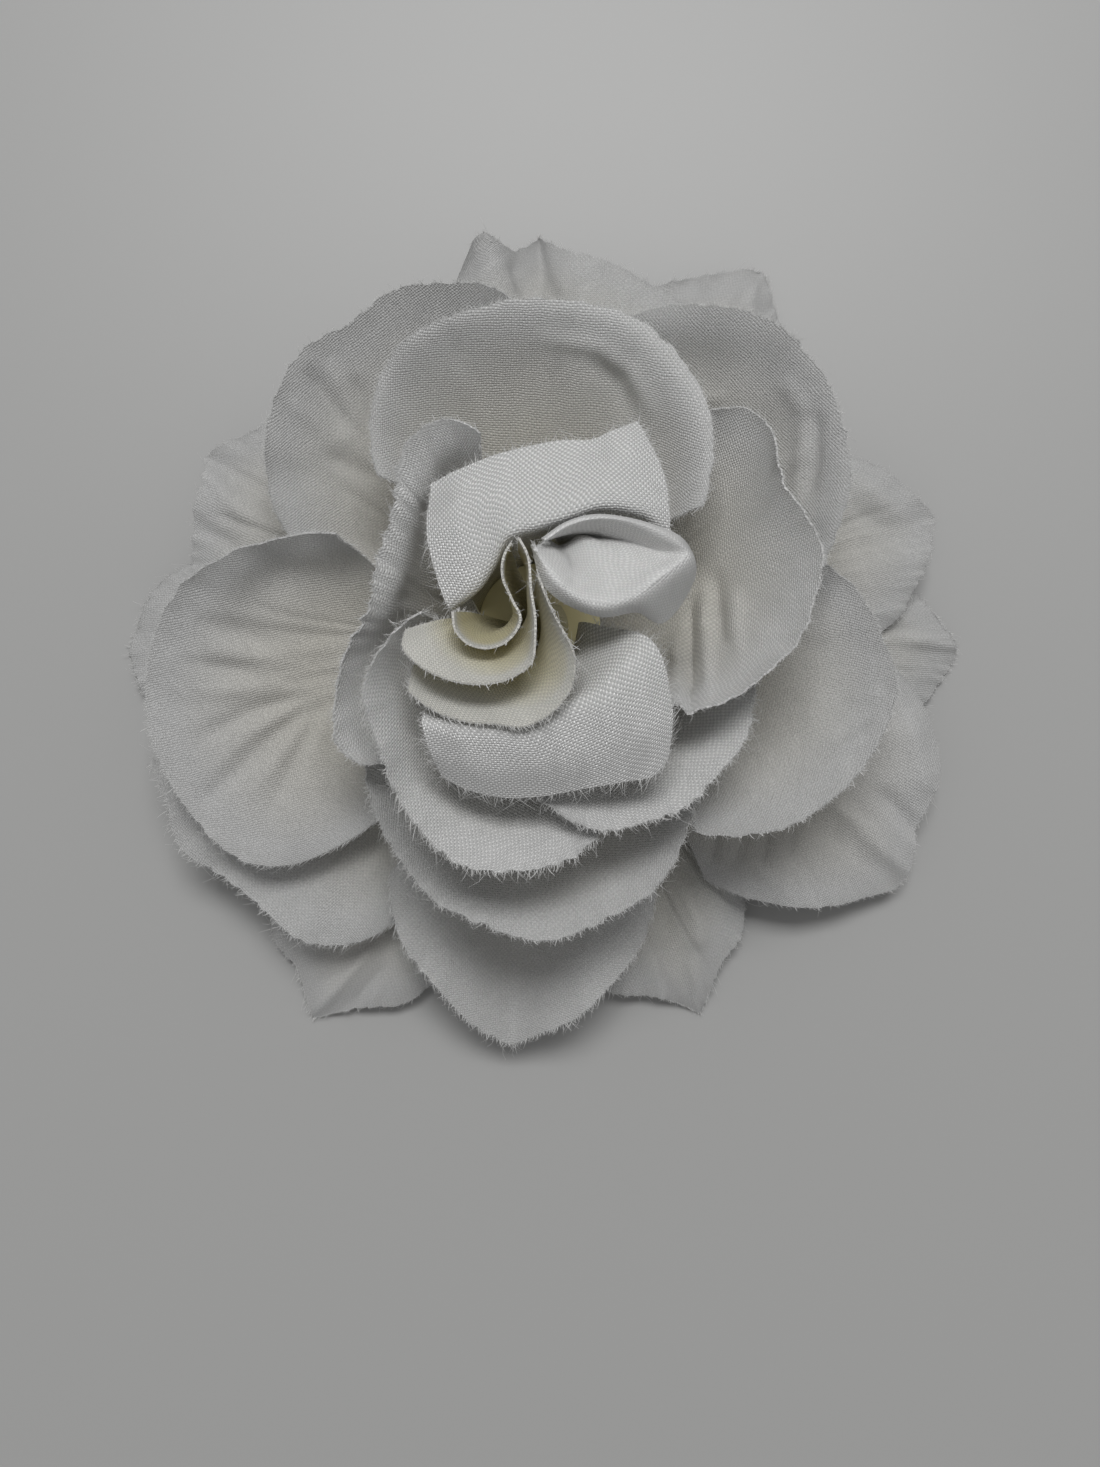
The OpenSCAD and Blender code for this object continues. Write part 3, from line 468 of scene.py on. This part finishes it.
def smooth_shade(obj, degrees=40):
    mesh = obj.data
    mesh.polygons.foreach_set("use_smooth", np.ones(len(mesh.polygons), bool))
    mesh.set_sharp_from_angle(angle=math.radians(degrees))


def vertex_values(obj, name, values):
    layer = obj.data.attributes.new(name, "FLOAT", "POINT")
    layer.data.foreach_set("value", np.asarray(values, np.float32).ravel())


def vertex_uv(obj, name, uv):
    mesh = obj.data
    layer = mesh.uv_layers.new(name=name)
    loops = np.zeros(len(mesh.loops), np.int32)
    mesh.loops.foreach_get("vertex_index", loops)
    layer.data.foreach_set("uv", np.asarray(uv, np.float32)[loops].ravel())


def sheet_faces(rows, steps):
    row = steps + 1
    far = (rows + 1) * row
    i, j = np.meshgrid(np.arange(rows), np.arange(steps), indexing="ij")
    k = (i * row + j).ravel()
    top = np.stack([k, k + 1, k + row + 1, k + row], axis=1)
    low = far + np.stack([k, k + row, k + row + 1, k + 1], axis=1)
    edge = np.concatenate([np.arange(rows + 1) * row, rows * row + np.arange(1, steps + 1),
                           np.arange(rows - 1, -1, -1) * row + steps, np.arange(steps - 1, 0, -1)])
    ahead = np.roll(edge, -1)
    side = np.stack([edge, ahead, far + ahead, far + edge], axis=1)
    return np.concatenate([top, low, side]).tolist()


def tube_faces(rings, sides):
    """Faces of a closed tube, with one face on each end."""
    faces = []
    for i in range(rings - 1):
        for k in range(sides):
            ahead = (k + 1) % sides
            faces.append((i * sides + k, i * sides + ahead, (i + 1) * sides + ahead, (i + 1) * sides + k))
    last = (rings - 1) * sides
    return faces + [tuple(range(sides - 1, -1, -1)), tuple(range(last, last + sides))]


AXIS_NEAR = (6, 12)
RIM_DEPTH = 0.08


def cloth_object(name, points, flat, thick, axis_shade=0):
    """A sheet of cloth.

    Its depth, 0 at the rim and 1 at the root and more near the flower's axis, sets its painted shade.
    """
    n = grid_normals(points)
    both = np.concatenate([(points + n * thick / 2).reshape(-1, 3), (points - n * thick / 2).reshape(-1, 3)])
    obj = add_object(name, both, sheet_faces(points.shape[0] - 1, points.shape[1] - 1))
    vertex_uv(obj, "weave", np.concatenate([flat.reshape(-1, 2)] * 2))
    depth = np.broadcast_to(1 - np.linspace(0, 1, points.shape[1]), points.shape[:2])
    # Near the flower's axis the depth grows, so the painted shade there is darker and more yellow.
    near = 1 - smooth(*AXIS_NEAR, np.linalg.norm(points[..., :2], axis=2))
    depth = depth + axis_shade * near * smooth(0, RIM_DEPTH, depth)
    vertex_values(obj, "depth", np.concatenate([depth.ravel()] * 2))
    smooth_shade(obj)
    return obj


FIBRE_STEPS = 3
FIBRE_SIDES = 3
FIBRE_TAPER = 0.6
FIBRE_ASIDE = (0.31, 0.17, 0.93)
FIBRE_LENGTHS = 0.4
FIBRE_RADII = (0.7, 1.3)


def fibres(starts, ways, bends, lengths, radius):
    """Points and faces of thin tapered fibres."""
    count = len(starts)
    s = np.linspace(0, 1, FIBRE_STEPS + 1)
    line = (starts[:, None] + lengths[:, None, None] * (s[None, :, None] * ways[:, None]
            + (s ** 2)[None, :, None] * bends[:, None]))
    way = np.gradient(line, axis=1)
    way /= np.linalg.norm(way, axis=2, keepdims=True)
    aside = np.cross(way, np.array(FIBRE_ASIDE))
    aside /= np.maximum(np.linalg.norm(aside, axis=2, keepdims=True), 1e-6)
    up = np.cross(way, aside)
    turn = 2 * math.pi * np.arange(FIBRE_SIDES) / FIBRE_SIDES
    taper = radius[:, None, None, None] * (1 - FIBRE_TAPER * s)[None, :, None, None]
    ring = line[:, :, None] + taper * (np.cos(turn)[None, None, :, None] * aside[:, :, None]
                                       + np.sin(turn)[None, None, :, None] * up[:, :, None])
    points = ring.reshape(-1, 3)
    k = np.arange(FIBRE_SIDES)
    ahead = (k + 1) % FIBRE_SIDES
    one = [np.stack([j * FIBRE_SIDES + k, j * FIBRE_SIDES + ahead, (j + 1) * FIBRE_SIDES + ahead,
                     (j + 1) * FIBRE_SIDES + k], axis=1) for j in range(FIBRE_STEPS)]
    one = np.concatenate(one)
    per = FIBRE_SIDES * (FIBRE_STEPS + 1)
    faces = (one[None] + (np.arange(count) * per)[:, None, None]).reshape(-1, 4).tolist()
    first = np.arange(FIBRE_SIDES)[::-1]
    last = np.arange(FIBRE_SIDES) + per - FIBRE_SIDES
    for end in (first, last):
        faces += (end[None] + (np.arange(count) * per)[:, None]).tolist()
    return points, faces


YARN_PITCH, YARN_LENGTH, YARN_R = 0.3, 0.36, 0.062
LOOSE_R = 0.026
# Sway of a fibre: along the edge and out of the cloth
YARN_SWAY, LOOSE_SWAY = (0.3, 0.2), (0.6, 0.45)
ROOT_SUNK, ROOT_STRAY, PLACE_STRAY = 0.14, 0.08, 0.4
NEAR_FLOOR = 2.5


def at(place, far, values):
    """Values at places along a line whose points lie at distances far."""
    return np.stack([np.interp(place, far, values[:, k]) for k in range(3)], axis=1)


def unit(vectors):
    return vectors / np.linalg.norm(vectors, axis=1, keepdims=True)


def sway(tangent, normal, rng, slant, stray):
    count = len(tangent)
    return tangent * rng.normal(0, slant, (count, 1)) + normal * rng.normal(0, stray, (count, 1))


def fray_object(name, points, seed, loose_per_mm, loose_length, longer):
    """Ends of yarn and loose fibres along a petal's raw rim and the outer half of its sides."""
    rng = np.random.default_rng(seed)
    half = points.shape[1] // 2
    edges = [(points[:, -1], points[:, -2]), (points[0, half:], points[1, half:]),
             (points[-1, half:], points[-2, half:])]
    kinds = ((1 / YARN_PITCH, longer * YARN_LENGTH, YARN_R, YARN_SWAY),
             (loose_per_mm, longer * loose_length, LOOSE_R, LOOSE_SWAY))
    starts, ways, bends, lengths, radii = [], [], [], [], []
    for line, inner in edges:
        far = np.concatenate([[0], np.cumsum(np.linalg.norm(np.diff(line, axis=0), axis=1))])
        for per_mm, length, radius, spread in kinds:
            count = max(1, int(far[-1] * per_mm))
            place = np.arange(count) + 0.5 + rng.uniform(-PLACE_STRAY, PLACE_STRAY, count)
            place = place * far[-1] / count
            way = unit(at(place, far, line - inner))
            tangent = unit(at(place, far, np.gradient(line, axis=0)))
            normal = np.cross(way, tangent)
            root = at(place, far, line) - ROOT_SUNK * way
            starts.append(root + normal * rng.uniform(-ROOT_STRAY, ROOT_STRAY, (count, 1)))
            ways.append(way + sway(tangent, normal, rng, *spread))
            bends.append(sway(tangent, normal, rng, *spread))
            lengths.append(length * rng.lognormal(0, FIBRE_LENGTHS, count))
            radii.append(radius * rng.uniform(*FIBRE_RADII, count))
    starts, ways, bends, lengths, radii = map(np.concatenate, (starts, ways, bends, lengths, radii))
    low = starts[:, 2] < NEAR_FLOOR
    ways[low, 2] = np.abs(ways[low, 2])
    bends[low, 2] = np.abs(bends[low, 2])
    points, faces = fibres(starts, ways, bends, lengths, radii)
    obj = add_object(name, points, faces)
    smooth_shade(obj, 180)
    return obj


# Materials
NOISE = (0.3, 0.7)
WEAVE_PITCH, WEAVE_WAVER, THREAD_POWER = 0.3, 2.4, 0.6
FINE_SCALE, BROAD_SCALE, BROAD_SHADE = 3.2, 0.12, 0.97
CHECKER = (-0.7, 0.7)
ROUGH_SPREAD = 0.06
FINE_BUMP = 0.0001


class Look:
    """A material and short ways to add its nodes."""

    def __init__(self, name):
        self.material = bpy.data.materials.new(name)
        self.material.use_nodes = True
        self.nodes = self.material.node_tree.nodes
        self.links = self.material.node_tree.links
        self.nodes.clear()
        self.out = self.nodes.new("ShaderNodeOutputMaterial")

    def add(self, kind, values=None, **settings):
        node = self.nodes.new(kind)
        for key, value in settings.items():
            setattr(node, key, value)
        for key, value in (values or {}).items():
            if isinstance(value, bpy.types.NodeSocket):
                self.links.new(value, node.inputs[key])
            else:
                node.inputs[key].default_value = value
        return node

    def place(self):
        return self.add("ShaderNodeTexCoord").outputs["Object"]

    def math(self, kind, a, b=0.5):
        return self.add("ShaderNodeMath", {0: a, 1: b}, operation=kind).outputs[0]

    def ramp(self, value, low, high, to_low=0.0, to_high=1.0):
        node = self.add("ShaderNodeMapRange", {"Value": value, "From Min": low, "From Max": high,
                                               "To Min": to_low, "To Max": to_high})
        return node.outputs["Result"]

    def blend(self, share, a, b, kind="MIX"):
        node = self.add("ShaderNodeMix", {}, data_type="RGBA", blend_type=kind)
        for index, value in ((0, share), (6, a), (7, b)):
            if isinstance(value, bpy.types.NodeSocket):
                self.links.new(value, node.inputs[index])
            else:
                node.inputs[index].default_value = value
        return node.outputs[2]

    def shaded(self, colour, shade):
        """A colour times a shade of grey."""
        grey = self.add("ShaderNodeCombineColor", {0: shade, 1: shade, 2: shade}).outputs[0]
        return self.blend(1.0, colour, grey, "MULTIPLY")

    def noise(self, vector, scale, detail=3.0, rough=0.55):
        node = self.add("ShaderNodeTexNoise", {"Vector": vector, "Scale": scale, "Detail": detail,
                                               "Roughness": rough})
        return node.outputs["Fac"]

    def bump(self, height, strength, distance):
        values = {"Strength": strength, "Distance": distance, "Height": height}
        return self.add("ShaderNodeBump", values).outputs[0]

    def shader(self, values):
        return self.add("ShaderNodeBsdfPrincipled", values).outputs[0]

    def see_through(self, share, body, values):
        through = self.add("ShaderNodeBsdfTranslucent", values).outputs[0]
        return self.add("ShaderNodeMixShader", {0: share, 1: body, 2: through}).outputs[0]

    def finish(self, shader):
        self.links.new(shader, self.out.inputs["Surface"])
        return self.material


def rgb(r, g, b):
    """Linear colour of an sRGB one."""
    return [((c / 255 + 0.055) / 1.055) ** 2.4 if c > 10 else c / 255 / 12.92 for c in (r, g, b)] + [1]


def weave(look):
    """Places on the flat cut, checker of over and under from -1 to 1, and height of the threads."""
    uv = look.add("ShaderNodeUVMap", uv_map="weave").outputs["UV"]
    parts = look.add("ShaderNodeSeparateXYZ", {0: uv})
    waver = look.math("MULTIPLY", look.math("SUBTRACT", look.noise(uv, 0.35, 2.0), 0.5), WEAVE_WAVER)
    lines = []
    for index in (0, 1):
        place = look.math("ADD", parts.outputs[index], look.math("MULTIPLY", waver, WEAVE_PITCH))
        lines.append(look.math("SINE", look.math("MULTIPLY", place, math.pi / WEAVE_PITCH)))
    over = look.math("MULTIPLY", lines[0], lines[1])
    height = look.math("POWER", look.math("ABSOLUTE", over), THREAD_POWER)
    return uv, over, height


def cloth_look(name, white, shade_tint, deep, checker, speckle, thread, grain, roughness, shine, sheen,
               see_through):
    """Woven cloth with painted glints, white turning to a painted yellowish shade over the depths in deep."""
    look = Look(name)
    uv, over, height = weave(look)
    fine = look.noise(uv, FINE_SCALE, 4.0, 0.7)
    broad = look.noise(uv, BROAD_SCALE, 2.0)
    depth = look.add("ShaderNodeAttribute", attribute_name="depth").outputs["Fac"]
    # Painted glints: floats lying one way are painted lighter than those across them, as if catching the
    # light.
    shade = look.ramp(over, *CHECKER, 1 - checker, 1)
    shade = look.math("MULTIPLY", shade, look.ramp(fine, *NOISE, 1 - speckle, 1))
    shade = look.math("MULTIPLY", shade, look.ramp(broad, *NOISE, BROAD_SHADE, 1))
    # Painted shade: deeper cloth turns from its white to its yellowish shade tint.
    colour = look.shaded(look.blend(look.ramp(depth, *deep), white, shade_tint), shade)
    relief = look.math("ADD", look.math("MULTIPLY", height, thread), look.math("MULTIPLY", fine, grain))
    bump = look.bump(relief, 1.0, MM)
    rough = look.ramp(fine, *NOISE, roughness - ROUGH_SPREAD, roughness + ROUGH_SPREAD)
    body = look.shader({"Base Color": colour, "Roughness": rough, "Normal": bump, "Sheen Weight": sheen,
                        "Sheen Roughness": 0.4, "Specular IOR Level": shine})
    return look.finish(look.see_through(see_through, body, {"Color": colour, "Normal": bump}))


PETAL_WHITE = rgb(226, 226, 225)
PETAL_SHADE_TINT = rgb(226, 223, 214)
# Painted light: the inner petals' white is painted brighter than the outer and middle petals' white, for the
# brighter middle of the flower.
INNER_LIT_WHITE = rgb(246, 246, 245)
FIBRE_WHITE = rgb(250, 250, 249)
SATIN_WHITE = rgb(252, 252, 251)
BUD_WHITE = rgb(248, 247, 241)
BUD_SHADE_TINT = rgb(240, 233, 196)
# Painted shade: over these depths the cloth turns to its yellowish shade tint, standing in for shade and
# yellow bounce light deep in the flower.
PETAL_DEEP = (0.12, 0.6)
SATIN_DEEP = (0.55, 0.9)
ROLL_DEEP = (0.12, 0.5)
CUP_DEEP = (0.4, 0.8)
petal_look = cloth_look("petal_cloth", PETAL_WHITE, PETAL_SHADE_TINT, PETAL_DEEP, checker=0.12, speckle=0.28,
                        thread=0.1, grain=0.16, roughness=0.8, shine=0.4, sheen=0.12, see_through=0.12)
inner_look = cloth_look("inner_cloth", INNER_LIT_WHITE, PETAL_SHADE_TINT, PETAL_DEEP, checker=0.24, speckle=0.2,
                        thread=0.1, grain=0.1, roughness=0.6, shine=0.5, sheen=0.12, see_through=0.15)
satin_look = cloth_look("satin_cloth", SATIN_WHITE, BUD_SHADE_TINT, SATIN_DEEP, checker=0.4, speckle=0.05,
                        thread=0.1, grain=0.01, roughness=0.2, shine=1.0, sheen=0.05, see_through=0.12)
roll_look = cloth_look("roll_cloth", BUD_WHITE, BUD_SHADE_TINT, ROLL_DEEP, checker=0.2, speckle=0.06,
                       thread=0.08, grain=0.02, roughness=0.4, shine=0.8, sheen=0.08, see_through=0.3)
cup_look = cloth_look("cup_cloth", SATIN_WHITE, BUD_SHADE_TINT, CUP_DEEP, checker=0.16, speckle=0.06,
                      thread=0.08, grain=0.02, roughness=0.4, shine=0.8, sheen=0.08, see_through=0.22)


def fibre_look():
    look = Look("loose_fibres")
    share = look.ramp(look.noise(look.place(), 900.0, 2.0), *NOISE)
    colour = look.blend(share, PETAL_WHITE, FIBRE_WHITE)
    body = look.shader({"Base Color": colour, "Roughness": 0.7})
    return look.finish(look.see_through(0.3, body, {"Color": colour}))


fray_look = fibre_look()

STREAK_STRETCH = (40, 2500, 2500)


def steel_look(name, colour, roughness):
    """Steel with faint streaks along x."""
    look = Look(name)
    place = look.place()
    stretch = look.add("ShaderNodeMapping", {"Vector": place, "Scale": STREAK_STRETCH}).outputs[0]
    streak = look.noise(stretch, 1.0, 3.0)
    cloud = look.noise(place, 260.0, 3.0)
    rough = look.math("ADD", look.ramp(streak, *NOISE, roughness - 0.05, roughness + 0.08),
                      look.ramp(cloud, 0.35, 0.75, 0, 0.08))
    tinted = look.shaded(colour, look.ramp(cloud, *NOISE, 0.92, 1))
    bump = look.bump(streak, 0.15, FINE_BUMP)
    return look.finish(look.shader({"Base Color": tinted, "Metallic": 1.0, "Roughness": rough,
                                    "Normal": bump}))


def plastic_look(name, dark, pale):
    look = Look(name)
    place = look.place()
    grain = look.noise(place, 2200.0, 3.0)
    cloud = look.noise(place, 180.0, 2.0)
    colour = look.blend(look.ramp(cloud, *NOISE), dark, pale)
    bump = look.bump(grain, 0.25, FINE_BUMP)
    rough = look.ramp(grain, *NOISE, 0.4, 0.55)
    return look.finish(look.shader({"Base Color": colour, "Roughness": rough, "Normal": bump}))


def felt_look(dark, pale):
    look = Look("felt")
    place = look.place()
    tangle = look.noise(place, 1400.0, 5.0, 0.7)
    clump = look.noise(place, 260.0, 3.0)
    shade = look.math("ADD", look.math("MULTIPLY", tangle, 0.6), look.math("MULTIPLY", clump, 0.4))
    colour = look.blend(look.ramp(shade, *NOISE), dark, pale)
    bump = look.bump(shade, 0.9, 0.0003)
    return look.finish(look.shader({"Base Color": colour, "Roughness": 0.95, "Normal": bump,
                                    "Sheen Weight": 0.4, "Sheen Roughness": 0.5}))


steel = steel_look("clip_steel", rgb(206, 204, 200), 0.26)
spring_steel = steel_look("spring_steel", rgb(176, 174, 170), 0.32)
plastic = plastic_look("stem_plastic", rgb(222, 216, 198), rgb(232, 227, 212))
core_plastic = plastic_look("core_plastic", rgb(235, 224, 170), rgb(242, 233, 186))
felt = felt_look(rgb(206, 204, 199), rgb(236, 235, 231))

# Petals
# FRAY: loose fibres per millimetre and their length
CUP = "bud_petal_4"
# Painted shade: share of extra depth near the flower's axis, so the bud rolls are painted darker and yellower
# in the hollow.
AXIS_SHADE = {"bud_petal_1": 0.2, "bud_petal_2": 0.25, "bud_petal_3": 0.4}
FRAY = {"outer": (4, 0.5), "middle": (4, 0.5), "inner": (5, 0.5), "satin": (5, 0.6), "bud": (4, 0.35)}
LONGER = {"bud_petal_1": 2.2, "satin_petal_1": 1.3, "satin_petal_2": 1.7, "outer_petal_8": 1.5,
          "inner_petal_3": 1.4, "inner_petal_4": 1.7, "middle_petal_4": 1.3, "middle_petal_5": 1.5}
CLOTH = {"outer": petal_look, "middle": petal_look, "inner": inner_look, "satin": satin_look,
         "bud": roll_look}


def dress_petal(name, seed):
    kind = name.split("_")[0]
    if name in BUD:
        points, flat = bud_grid(BUD[name], seed)
    else:
        points, flat = petal_grid(PETALS[name], DETAIL.get(name, {}), seed)
    cloth = cloth_object(name + "_cloth", points, flat, CLOTH_T, AXIS_SHADE.get(name, 0))
    cloth.data.materials.append(cup_look if name == CUP else CLOTH[kind])
    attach(cloth, "flower")
    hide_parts(name)
    fray = fray_object(name + "_fray", points, seed + 500, *FRAY[kind], LONGER.get(name, 1))
    fray.data.materials.append(fray_look)
    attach(fray, "flower")


for seed, name in enumerate([*PETALS, *BUD]):
    dress_petal(name, seed)

# Felt
FELT_R, FELT_LOW, FELT_TOP, FELT_ROUND = 20, 9.5, 10.7, 0.45
FELT_SIDES, FELT_RINGS, FELT_ROUND_STEPS, FELT_MIDDLE_R = 160, 14, 9, 0.4
RAGGED, RAGGED_WAVES, RAGGED_WIDTH = 0.06, (5, 9, 14, 23, 41), 3
KEEPER_START, KEEPER_END, KEEPER_HALF, KEEPER_T = 3, 13, 10, 0.8
KEEPER_UNDER, KEEPER_WING, KEEPER_BEND = 8.4, 9.1, (5, 6.4)
KEEPER_ROWS, KEEPER_STEPS, KEEPER_FLAT = 81, 31, 20.5
FUZZ_COUNT, FUZZ_LENGTH, FUZZ_R, FUZZ_SWAY, FUZZ_SUNK = 1500, 0.4, 0.018, 0.5, 0.1
FUZZ_STRAY = (0.15, 0.15, 0.45)


def felt_disc_object():
    """The disc with its ragged rim, and the points of that rim."""
    rng = np.random.default_rng(700)
    turn = np.linspace(0, 2 * math.pi, FELT_SIDES, endpoint=False)
    ragged = RAGGED * sum(np.sin(k * turn + rng.uniform(0, 6)) for k in RAGGED_WAVES)
    round_r = FELT_R - FELT_ROUND
    flat_r = np.linspace(FELT_MIDDLE_R, round_r, FELT_RINGS)
    half = (FELT_TOP - FELT_LOW) / 2
    corner = np.radians(np.linspace(-90, 90, FELT_ROUND_STEPS))
    lower = [(r, FELT_LOW) for r in flat_r]
    rim = [(round_r + FELT_ROUND * math.cos(c), FELT_LOW + half * (1 + math.sin(c))) for c in corner]
    upper = [(r, FELT_TOP) for r in flat_r[::-1]]
    line = lower[:-1] + rim + upper[1:]
    points = []
    for r, z in line:
        radius = r + smooth(FELT_R - RAGGED_WIDTH, FELT_R, r) * ragged
        points += [(x, y, z) for x, y in zip(radius * np.cos(turn), radius * np.sin(turn))]
    obj = add_object("felt_disc_cloth", points, [face[::-1] for face in tube_faces(len(line), FELT_SIDES)])
    smooth_shade(obj, 60)
    rim_x, rim_y = (FELT_R + ragged) * np.cos(turn), (FELT_R + ragged) * np.sin(turn)
    return obj, np.stack([rim_x, rim_y, np.full(FELT_SIDES, FELT_LOW + half)], axis=1)


def felt_fuzz_object(name, line, out, seed):
    """Short fibres round the edge of a piece of felt."""
    rng = np.random.default_rng(seed)
    pick = rng.integers(0, len(line), FUZZ_COUNT)
    start = line[pick] + rng.uniform(-1, 1, (FUZZ_COUNT, 3)) * np.array(FUZZ_STRAY)
    way = out[pick] + rng.normal(0, FUZZ_SWAY, (FUZZ_COUNT, 3))
    bend = rng.normal(0, FUZZ_SWAY, (FUZZ_COUNT, 3))
    length = FUZZ_LENGTH * rng.lognormal(0, FIBRE_LENGTHS, FUZZ_COUNT)
    radius = FUZZ_R * rng.uniform(*FIBRE_RADII, FUZZ_COUNT)
    points, faces = fibres(start - FUZZ_SUNK * out[pick], way, bend, length, radius)
    obj = add_object(name, points, faces)
    smooth_shade(obj, 180)
    return obj


def dress_felt():
    disc, rim = felt_disc_object()
    fuzz = felt_fuzz_object("felt_disc_fuzz", rim, unit(rim * (1, 1, 0)), 701)
    y = np.linspace(-KEEPER_HALF, KEEPER_HALF, KEEPER_ROWS)[:, None]
    x = np.linspace(KEEPER_START, KEEPER_END, KEEPER_STEPS)[None, :]
    z = mix(KEEPER_UNDER, KEEPER_WING, smooth(*KEEPER_BEND, np.abs(y)))
    strip = np.stack(np.broadcast_arrays(x, y, z), axis=-1)
    keeper = cloth_object("clip_keeper_cloth", strip, flatten(strip), KEEPER_T)
    for obj, name in ((disc, "felt_disc"), (keeper, "clip_keeper")):
        obj.data.materials.append(felt)
        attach(obj, "flower")
        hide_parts(name)
    fuzz.data.materials.append(felt)
    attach(fuzz, "flower")


dress_felt()

# Spring
HINGE_X, HINGE_Z = -8, 5.8
WIRE_R, COIL_R, COIL_W, COIL_TURN = 0.35, 1.5, 4.4, 1260
LEG_END_X, UPPER_LEG_Z, LOWER_LEG_Z = -17, 8.42, 2.77
COIL_STEPS, LEG_STEPS, WIRE_SIDES = 112, 8, 14


def spring_object():
    """A coil of round wire round the pin, with a leg at each end."""
    s = np.linspace(0, 1, COIL_STEPS + 1)
    turn = np.radians(90 - COIL_TURN * s)
    coil_x, coil_z = HINGE_X + COIL_R * np.cos(turn), HINGE_Z + COIL_R * np.sin(turn)
    coil = np.stack([coil_x, (s - 0.5) * COIL_W, coil_z], axis=1)
    leg = np.linspace(0, 1, LEG_STEPS + 1)[:-1, None]
    upper = mix(np.array([LEG_END_X, -COIL_W / 2, UPPER_LEG_Z]), coil[0] - (2 * WIRE_R, 0, 0), leg)
    lower = mix(np.array([LEG_END_X, COIL_W / 2, LOWER_LEG_Z]), coil[-1] - (2 * WIRE_R, 0, 0), leg)[::-1]
    line = np.concatenate([upper, coil, lower])
    way = unit(np.gradient(line, axis=0))
    side = unit(np.cross((0, 1, 0), way))
    up = np.cross(way, side)
    angle = (2 * math.pi * np.arange(WIRE_SIDES) / WIRE_SIDES)[None, :, None]
    ring = line[:, None] + WIRE_R * (np.cos(angle) * side[:, None] + np.sin(angle) * up[:, None])
    obj = add_object("torsion_spring_wire", ring.reshape(-1, 3), tube_faces(len(line), WIRE_SIDES))
    smooth_shade(obj, 50)
    return obj


spring = spring_object()
spring.data.materials.append(spring_steel)
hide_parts("torsion_spring")
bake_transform(spring)

# Clip and stem
# Each solid's material and the width of its rounded edges
RIGID = {"clip_base_arm": (steel, 0.12), "clip_lever_arm": (steel, 0.12), "hinge_pin": (steel, 0.12),
         "receptacle": (plastic, 0.3), "outer_collar": (plastic, 0.3), "middle_collar": (plastic, 0.3),
         "inner_collar": (plastic, 0.3), "bud_core": (core_plastic, 0.4)}
WELD_GAP, BEVEL_STEPS, BEVEL_ANGLE = 1e-6, 3, 35


def dress_rigid(name, material, width):
    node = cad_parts[name]
    node.data.materials.clear()
    node.data.materials.append(material)
    weld = node.modifiers.new("weld", "WELD")
    weld.merge_threshold = WELD_GAP
    bevel = node.modifiers.new("bevel", "BEVEL")
    bevel.width = width * MM
    bevel.segments = BEVEL_STEPS
    bevel.limit_method = "ANGLE"
    bevel.angle_limit = math.radians(BEVEL_ANGLE)


for name, (material, width) in RIGID.items():
    dress_rigid(name, material, width)

# Stage
FLOOR_GREY, FLOOR_SIZE = rgb(164, 164, 163), 6
WORLD_LIGHT = 0.3
KEY_SIZE, KEY_POWER, KEY_PLACE, KEY_AIM = (1.0, 0.5), 30, (0.05, 0.9, 2), (0, 0, 0.02)


def floor_look():
    look = Look("floor")
    return look.finish(look.shader({"Base Color": FLOOR_GREY, "Roughness": 0.45}))


def make_stage():
    bpy.ops.mesh.primitive_plane_add(size=FLOOR_SIZE, location=(0, 0, 0))
    floor = bpy.context.object
    floor.name = "floor"
    floor.data.materials.append(floor_look())
    world = bpy.data.worlds.new("world")
    bpy.context.scene.world = world
    world.use_nodes = True
    sky = world.node_tree.nodes["Background"]
    sky.inputs["Color"].default_value = (1, 1, 1, 1)
    sky.inputs["Strength"].default_value = WORLD_LIGHT
    data = bpy.data.lights.new("key", "AREA")
    data.shape = "RECTANGLE"
    data.size, data.size_y = KEY_SIZE
    data.energy = KEY_POWER
    key = bpy.data.objects.new("key", data)
    key.location = KEY_PLACE
    aim = np.array(KEY_AIM) - np.array(KEY_PLACE)
    yaw, pitch = math.atan2(aim[1], aim[0]), math.acos(-aim[2] / np.linalg.norm(aim))
    key.rotation_euler = (pitch, 0, yaw - math.pi / 2)
    bpy.context.scene.collection.objects.link(key)
    bpy.context.scene.view_settings.view_transform = "Standard"


make_stage()
